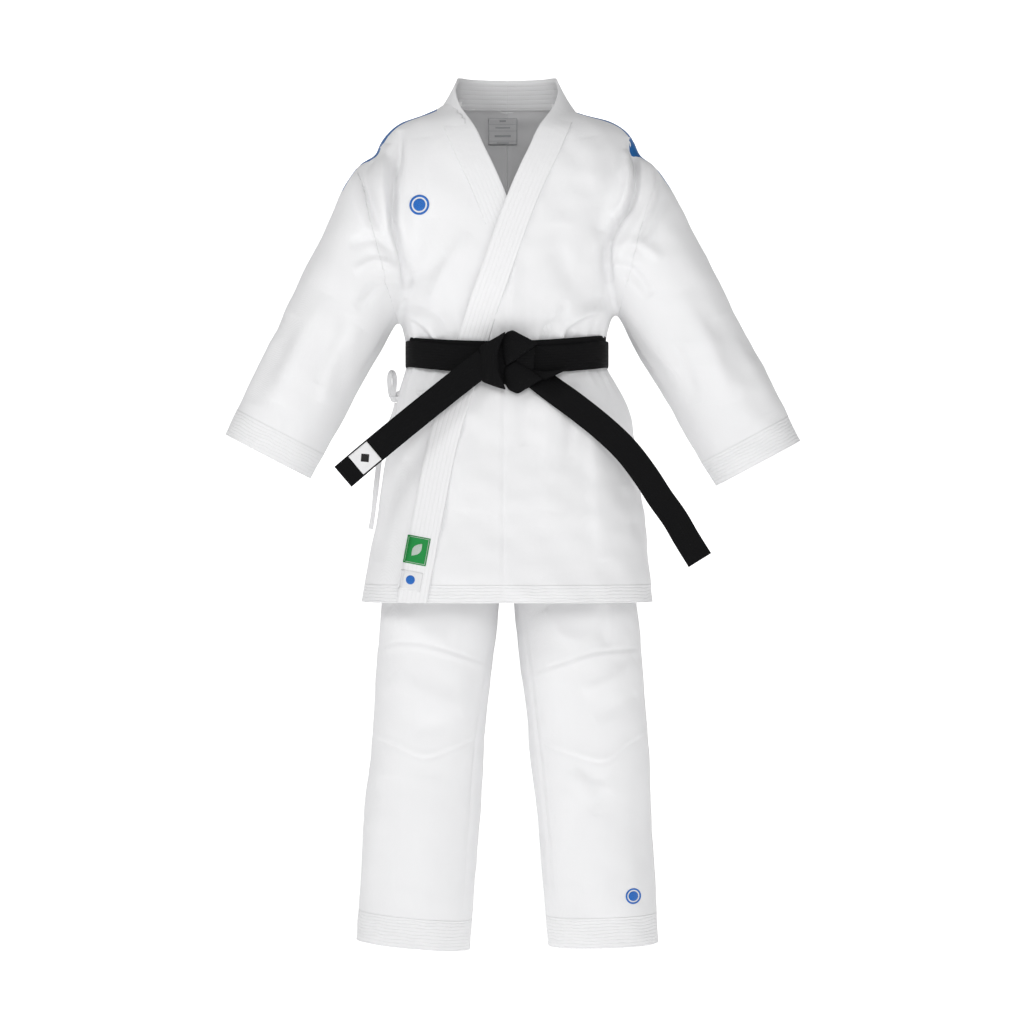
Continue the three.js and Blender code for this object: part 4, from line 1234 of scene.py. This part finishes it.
band_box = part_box("waistband")
band_cloth = row_finish("waistband_cotton", cotton_white, 0.009, 0.5)
elastic_cloth = row_finish("elastic_knit", shade_of(cotton_white, 0.9), 0.004, 0.4)


def waist_ring(name, inset, low_z, high_z, thick, ripple, material):
    """A closed band round the waist: its height is its strip width, its radius ripples in fine
    gathers, and it bulges between the rows of elastic."""
    half, deep = band_box[1][0] - inset, band_box[1][1] - inset
    turn = np.linspace(0, 2 * math.pi, 420, endpoint=False)[:, None]
    share = np.linspace(0, 1, 22)[None, :]
    gathers = ripple * (np.sin(turn * 61) + 0.6 * np.sin(turn * 97 + 1)) * (0.6 + 0.4 * np.sin(share * 9.4))
    bulge = 0.0012 * np.abs(np.sin(share * math.pi * 3))
    walls = []
    for offset in (0.0, -thick):
        out = 1 + (gathers + bulge + offset) / half
        x = squarish(np.cos(turn), 2.3) * half * out
        y = squarish(np.sin(turn), 2.3) * deep * out
        walls.append(together(x, y, low_z + (high_z - low_z) * share))
    points = np.concatenate([walls[0], walls[1][:, ::-1]], axis=1)
    u = np.concatenate([share, share[:, ::-1]], axis=1) * (high_z - low_z)
    piece = grid_mesh(name, points, close_u=True, close_v=True, uv=together(u, turn * half))
    piece.data.materials.append(material)
    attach(piece, "trousers")
    return tidy_mesh(piece)


waistband = waist_ring("trouser_waistband", 0.0015, band_box[0][2], band_box[1][2], 0.0022, 0.0009,
                       band_cloth)
elastic = waist_ring("waistband_elastic", 0.0055, band_box[0][2] + 0.004, band_box[1][2] - 0.004, 0.0012,
                     0.0004, elastic_cloth)
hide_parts("waistband")
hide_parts("waist_elastic")

# ---- Labels, emblems and shoulder tapes -------------------------------------------------------
# Small trims sewn on last: a blue tape along each shoulder, round satin-stitch emblems, a green
# woven label and a white one on the lapel, a printed care label, and a label on the belt's end.

blue = (0.012, 0.19, 0.72)
tape_blue = (0.008, 0.115, 0.36)
label_green = (0.012, 0.27, 0.055)
print_grey = (0.52, 0.53, 0.55)


def woven_finish(name, colour):
    """Close label weave: fine ribs both ways."""
    finish = Finish(name, 0.7, 0.1)
    where, x, y, z = finish.in_piece()
    ribs = finish.wave(z + x * 0.4, 0.0009) * 0.5 + finish.wave(x - z * 0.4, 0.0009) * 0.5
    shade = ribs * 0.25 + finish.noise(where, 300.0) * 0.2
    return finish.finish(finish.mix(shade, colour, shade_of(colour, 0.7)), ribs, 0.0002)


def satin_finish(name, colour):
    """Satin stitch: silky threads laid side by side, slanting."""
    finish = Finish(name, 0.42, 0.25)
    where, x, y, z = finish.in_piece()
    thread = finish.wave(x * 0.8 + z, 0.0011)
    shade = thread * 0.5 + finish.noise(where, 500.0) * 0.3
    return finish.finish(finish.mix(shade, colour, shade_of(colour, 0.55)), thread, 0.0004)


white_weave = woven_finish("white_label_weave", (0.82, 0.82, 0.83))
green_weave = woven_finish("green_label_weave", label_green)
black_weave = woven_finish("black_label_weave", (0.012, 0.012, 0.013))
grey_print = woven_finish("label_print", print_grey)
blue_satin = satin_finish("blue_satin", blue)
pale_satin = satin_finish("pale_satin", (0.70, 0.80, 0.72))
blue_tape = row_finish("shoulder_tape", tape_blue, 0.0095, 0.15, 0.6)


def turned(flat, turn, centre):
    """Places in the front view turned by turn degrees about 0 and set at centre: x, then z."""
    c, s = math.cos(math.radians(turn)), math.sin(math.radians(turn))
    return flat[..., 0] * c - flat[..., 1] * s + centre[0], flat[..., 0] * s + flat[..., 1] * c + centre[1]


def thin_piece(name, x, y, z, material, is_ring):
    """A face in the front view and its flat back at y = 0, as one closed surface."""
    face = together(x, y, z)
    piece = grid_mesh(name, np.concatenate([face, face[::-1] * (1, 0, 1)]), close_u=True, close_v=is_ring)
    piece.data.materials.append(material)
    return piece


def flat_patch(name, outline, turn, centre, thick, material, rounding=0.0):
    """A thin patch in the front view: its outline, corners rounded off, is turned by turn degrees
    about its own middle, set at centre and filled by shrinking rings; y runs from 0 to -thick."""
    corners = np.array(outline, float)
    if rounding:
        corners = rounded_outline(corners, rounding, 5)
    share = np.linspace(0, 1, 10)[:, None, None]
    x, z = turned(share * spaced_outline(corners, 64, keep_corners=True), turn, centre)
    dome = thick * np.sqrt(np.clip(1 - share[..., 0] ** 8, 0.1, 1))
    return thin_piece(name, x, -dome, z, material, False)


def disc_outline(radius, count=40):
    """A circle of count points about 0."""
    turn = np.linspace(0, 2 * math.pi, count, endpoint=False)
    return radius * together(np.cos(turn), np.sin(turn))


def box_outline(width, height):
    """A rectangle about 0, from its lower left corner."""
    return np.array([(-1, -1), (1, -1), (1, 1), (-1, 1)]) * (width / 2, height / 2)


def lay_on(patch, target, gap):
    """Drops a patch straight back onto the target's front and keeps its own relief: each point
    takes the depth a straight line meets, plus the relief, less the gap."""
    relief = points_of(patch)[:, 1]
    in_front = -0.35
    move_points(patch, points_of(patch) * (1, 0, 1) + (0, in_front, 0))
    baked(patch, "SHRINKWRAP", wrap_method="PROJECT", use_project_y=True, use_project_x=False,
          use_project_z=False, use_positive_direction=True, use_negative_direction=False, target=target)
    landed = points_of(patch)
    depth = np.where(landed[:, 1] < in_front + 0.001, np.median(landed[:, 1]), landed[:, 1])
    landed[:, 1] = depth + relief - gap
    move_points(patch, landed)
    return tidy_mesh(patch)


def middle_of(node):
    """The middle of a CAD node in the front view: x, then z."""
    box_low, box_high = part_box(node)
    centre = (box_low + box_high) / 2
    return np.array((centre.x, centre.z))


def emblem(node, radius, target, body):
    """A round satin badge in its node's place: a small disc with a ring round it."""
    centre = middle_of(node)
    disc = flat_patch(f"{node}_disc", disc_outline(radius * 0.62), 0, centre, 0.0012, blue_satin)
    lay_on(disc, target, 0.0002)
    outer, inner = disc_outline(radius, 72), disc_outline(radius * 0.78, 72)
    share = np.linspace(0, 1, 9)[:, None, None]
    flat = outer * (1 - share) + inner * share + centre
    relief = -0.0012 * np.sin(math.pi * np.clip(share[..., 0], 0.08, 0.92))
    ring = thin_piece(f"{node}_disc_ring", flat[..., 0], relief, flat[..., 1], blue_satin, True)
    lay_on(ring, target, 0.0002)
    for piece in (disc, ring):
        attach(piece, body)
    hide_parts(node)


emblem("chest_emblem", 0.0158, jacket[-1][0], "jacket")
emblem("trouser_emblem", 0.0125, legs[1], "leg_left")

# The green woven label has a stitched border and a plain leaf; the white one under it a small
# disc. Both lie on the lower lapel, square to its edge.
edge_run = free_edge[-2] - free_edge[-3]
patch_turn = math.degrees(math.atan2(edge_run[0], -edge_run[1]))
label_at, badge_at = middle_of("lapel_label"), middle_of("lapel_badge")
green_label = lay_on(
    flat_patch("lapel_green_label", box_outline(0.0365, 0.044), patch_turn, label_at, 0.0007, green_weave,
               0.0012), lapel_band, 0.0002)
leaf_t = np.linspace(0, math.pi, 18)
leaf = together(0.0066 * np.sin(leaf_t), 0.0125 * (2 * leaf_t / math.pi - 1))
leaf = np.concatenate([leaf, leaf[-2:0:-1] * (-1, 1)])[::-1]
leaf_patch = lay_on(
    flat_patch("lapel_label_leaf", leaf, patch_turn - 32, label_at + (0, 0.001), 0.0005, pale_satin),
    lapel_band, 0.0008)


def frame_patch(name, width, height, line, turn, centre, material):
    """A thin rectangular border: the band between two rectangles, one a line's width inside."""
    outer = box_outline(width, height)
    t = np.linspace(0, 1, 12, endpoint=False)[None, :, None]
    outer = (outer[:, None] * (1 - t) + np.roll(outer, -1, 0)[:, None] * t).reshape(-1, 2)
    inner = outer * (1 - 2 * line / width, 1 - 2 * line / height)
    share = np.array((0, 0.5, 1))[:, None, None]
    x, z = turned(outer * (1 - share) + inner * share, turn, centre)
    return thin_piece(name, x, -0.0004, z, material, True)


label_border = lay_on(
    frame_patch("lapel_label_border", 0.033, 0.0405, 0.0008, patch_turn, label_at, pale_satin),
    lapel_band, 0.0007)
white_badge = lay_on(
    flat_patch("lapel_white_badge", box_outline(0.036, 0.030), patch_turn, badge_at, 0.0006, white_weave,
               0.0015), lapel_band, 0.0002)
badge_disc = lay_on(
    flat_patch("lapel_badge_disc", disc_outline(0.0072), 0, badge_at + (0, 0.001), 0.0008, blue_satin),
    lapel_band, 0.0007)
for piece, slot in ((green_label, "green_label"), (leaf_patch, "green_label"), (label_border, "green_label"),
                    (white_badge, "white_label"), (badge_disc, "blue_embroidery")):
    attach(piece, "jacket")
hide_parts("lapel_label")
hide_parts("lapel_badge")

# The belt's end carries a white woven label with a plain black diamond.
label_share = 0.84
end_label_at = right_path[int(label_share * len(right_path)), [0, 2]]
end_way = right_path[-1] - right_path[len(right_path) // 2]
end_turn = math.degrees(math.atan2(end_way[2], end_way[0])) + 180
end_label = lay_on(
    flat_patch("belt_end_white_label", box_outline(0.037, 0.0365), end_turn, end_label_at, 0.0007,
               white_weave, 0.0010), end_right, 0.0002)
diamond = lay_on(
    flat_patch("belt_label_diamond", box_outline(0.0125, 0.0125), end_turn + 45, end_label_at, 0.0004,
               black_weave, 0.0008), end_right, 0.0008)
for piece in (end_label, diamond):
    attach(piece, "belt_end_right")
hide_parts("belt_end_label")


def lay_inside(patch, gap):
    """Sets a patch on the inner side of the jacket's back: its own relief in front of the back's
    own curve, a gap clear of the cloth."""
    places = points_of(patch)
    centre, half, _, back, fullness = body_at(places[:, 2])
    wall = back * (1 - np.abs((places[:, 0] - centre) / half) ** fullness) ** (1 / fullness)
    places[:, 1] += wall - cloth_thick - gap
    move_points(patch, places)
    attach(patch, "jacket")
    return tidy_mesh(patch)


# The care label inside the neck is a ruled grid with short blank bars.
care_at = middle_of("neck_label")
care_width, care_height = 0.047, 0.041
care_gap, print_gap = 0.0042, 0.0048
care = lay_inside(flat_patch("neck_care_label", box_outline(care_width, care_height), 0, care_at, 0.0004,
                             white_weave, 0.001), care_gap)
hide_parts("neck_label")
lay_inside(frame_patch("neck_label_frame", care_width - 0.001, care_height - 0.001, 0.0005, 0, care_at,
                       grey_print), print_gap)
# Three ruled lines, then four bars: how far up and how wide, as shares of the label, and height.
care_print = ((0.27, 0.97, 0.0005), (0.02, 0.97, 0.0005), (-0.36, 0.97, 0.0005), (0.39, 0.22, 0.0026),
              (0.14, 0.5, 0.0018), (-0.17, 0.55, 0.0030), (-0.43, 0.42, 0.0014))
for i, (rise, width, tall) in enumerate(care_print):
    lay_inside(flat_patch(f"neck_label_print_{i}", box_outline(care_width * width, tall), 0,
                          care_at + (0, rise * care_height), 0.0002, grey_print), print_gap)

# A blue tape runs along the top of each shoulder, from the collar down on to the sleeve.
tape_half, tape_shift = 0.0105, -0.021
tape_start, tape_end, seam_x = 0.112, 0.262, seam_top[0] - 0.003


def shoulder_tape(name, side, from_x, to_x, target):
    """A strip seen from above, dropped straight down on to the cloth, then thickened upwards."""
    x = np.linspace(from_x, to_x, 100)[:, None]
    y = tape_shift + np.linspace(-tape_half, tape_half, 17)[None, :]
    overhead = 0.2
    points, uv = together(side * x, y, overhead), together(y, x)
    tape = grid_mesh(name, points[:, ::side], uv=uv[:, ::side])
    tape.data.materials.append(blue_tape)
    baked(tape, "SHRINKWRAP", wrap_method="PROJECT", use_project_z=True, use_negative_direction=True,
          use_positive_direction=False, target=target, offset=0.0004)
    baked(tape, "SOLIDIFY", thickness=0.0012, offset=1.0)
    return tidy_mesh(tape)


for word, side in (("right", -1), ("left", 1)):
    half, sleeve, start, end = jacket[side]
    body_tape = shoulder_tape(f"shoulder_tape_{word}_strip", side, tape_start, seam_x - 0.0015, half)
    arm_tape = shoulder_tape(f"sleeve_tape_{word}_strip", side, seam_x + 0.0045, tape_end, sleeve)
    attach(body_tape, "jacket")
    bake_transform(arm_tape)
    for piece, node in ((body_tape, "shoulder_tape"), (arm_tape, "sleeve_tape")):
        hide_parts(f"{node}_{word}")
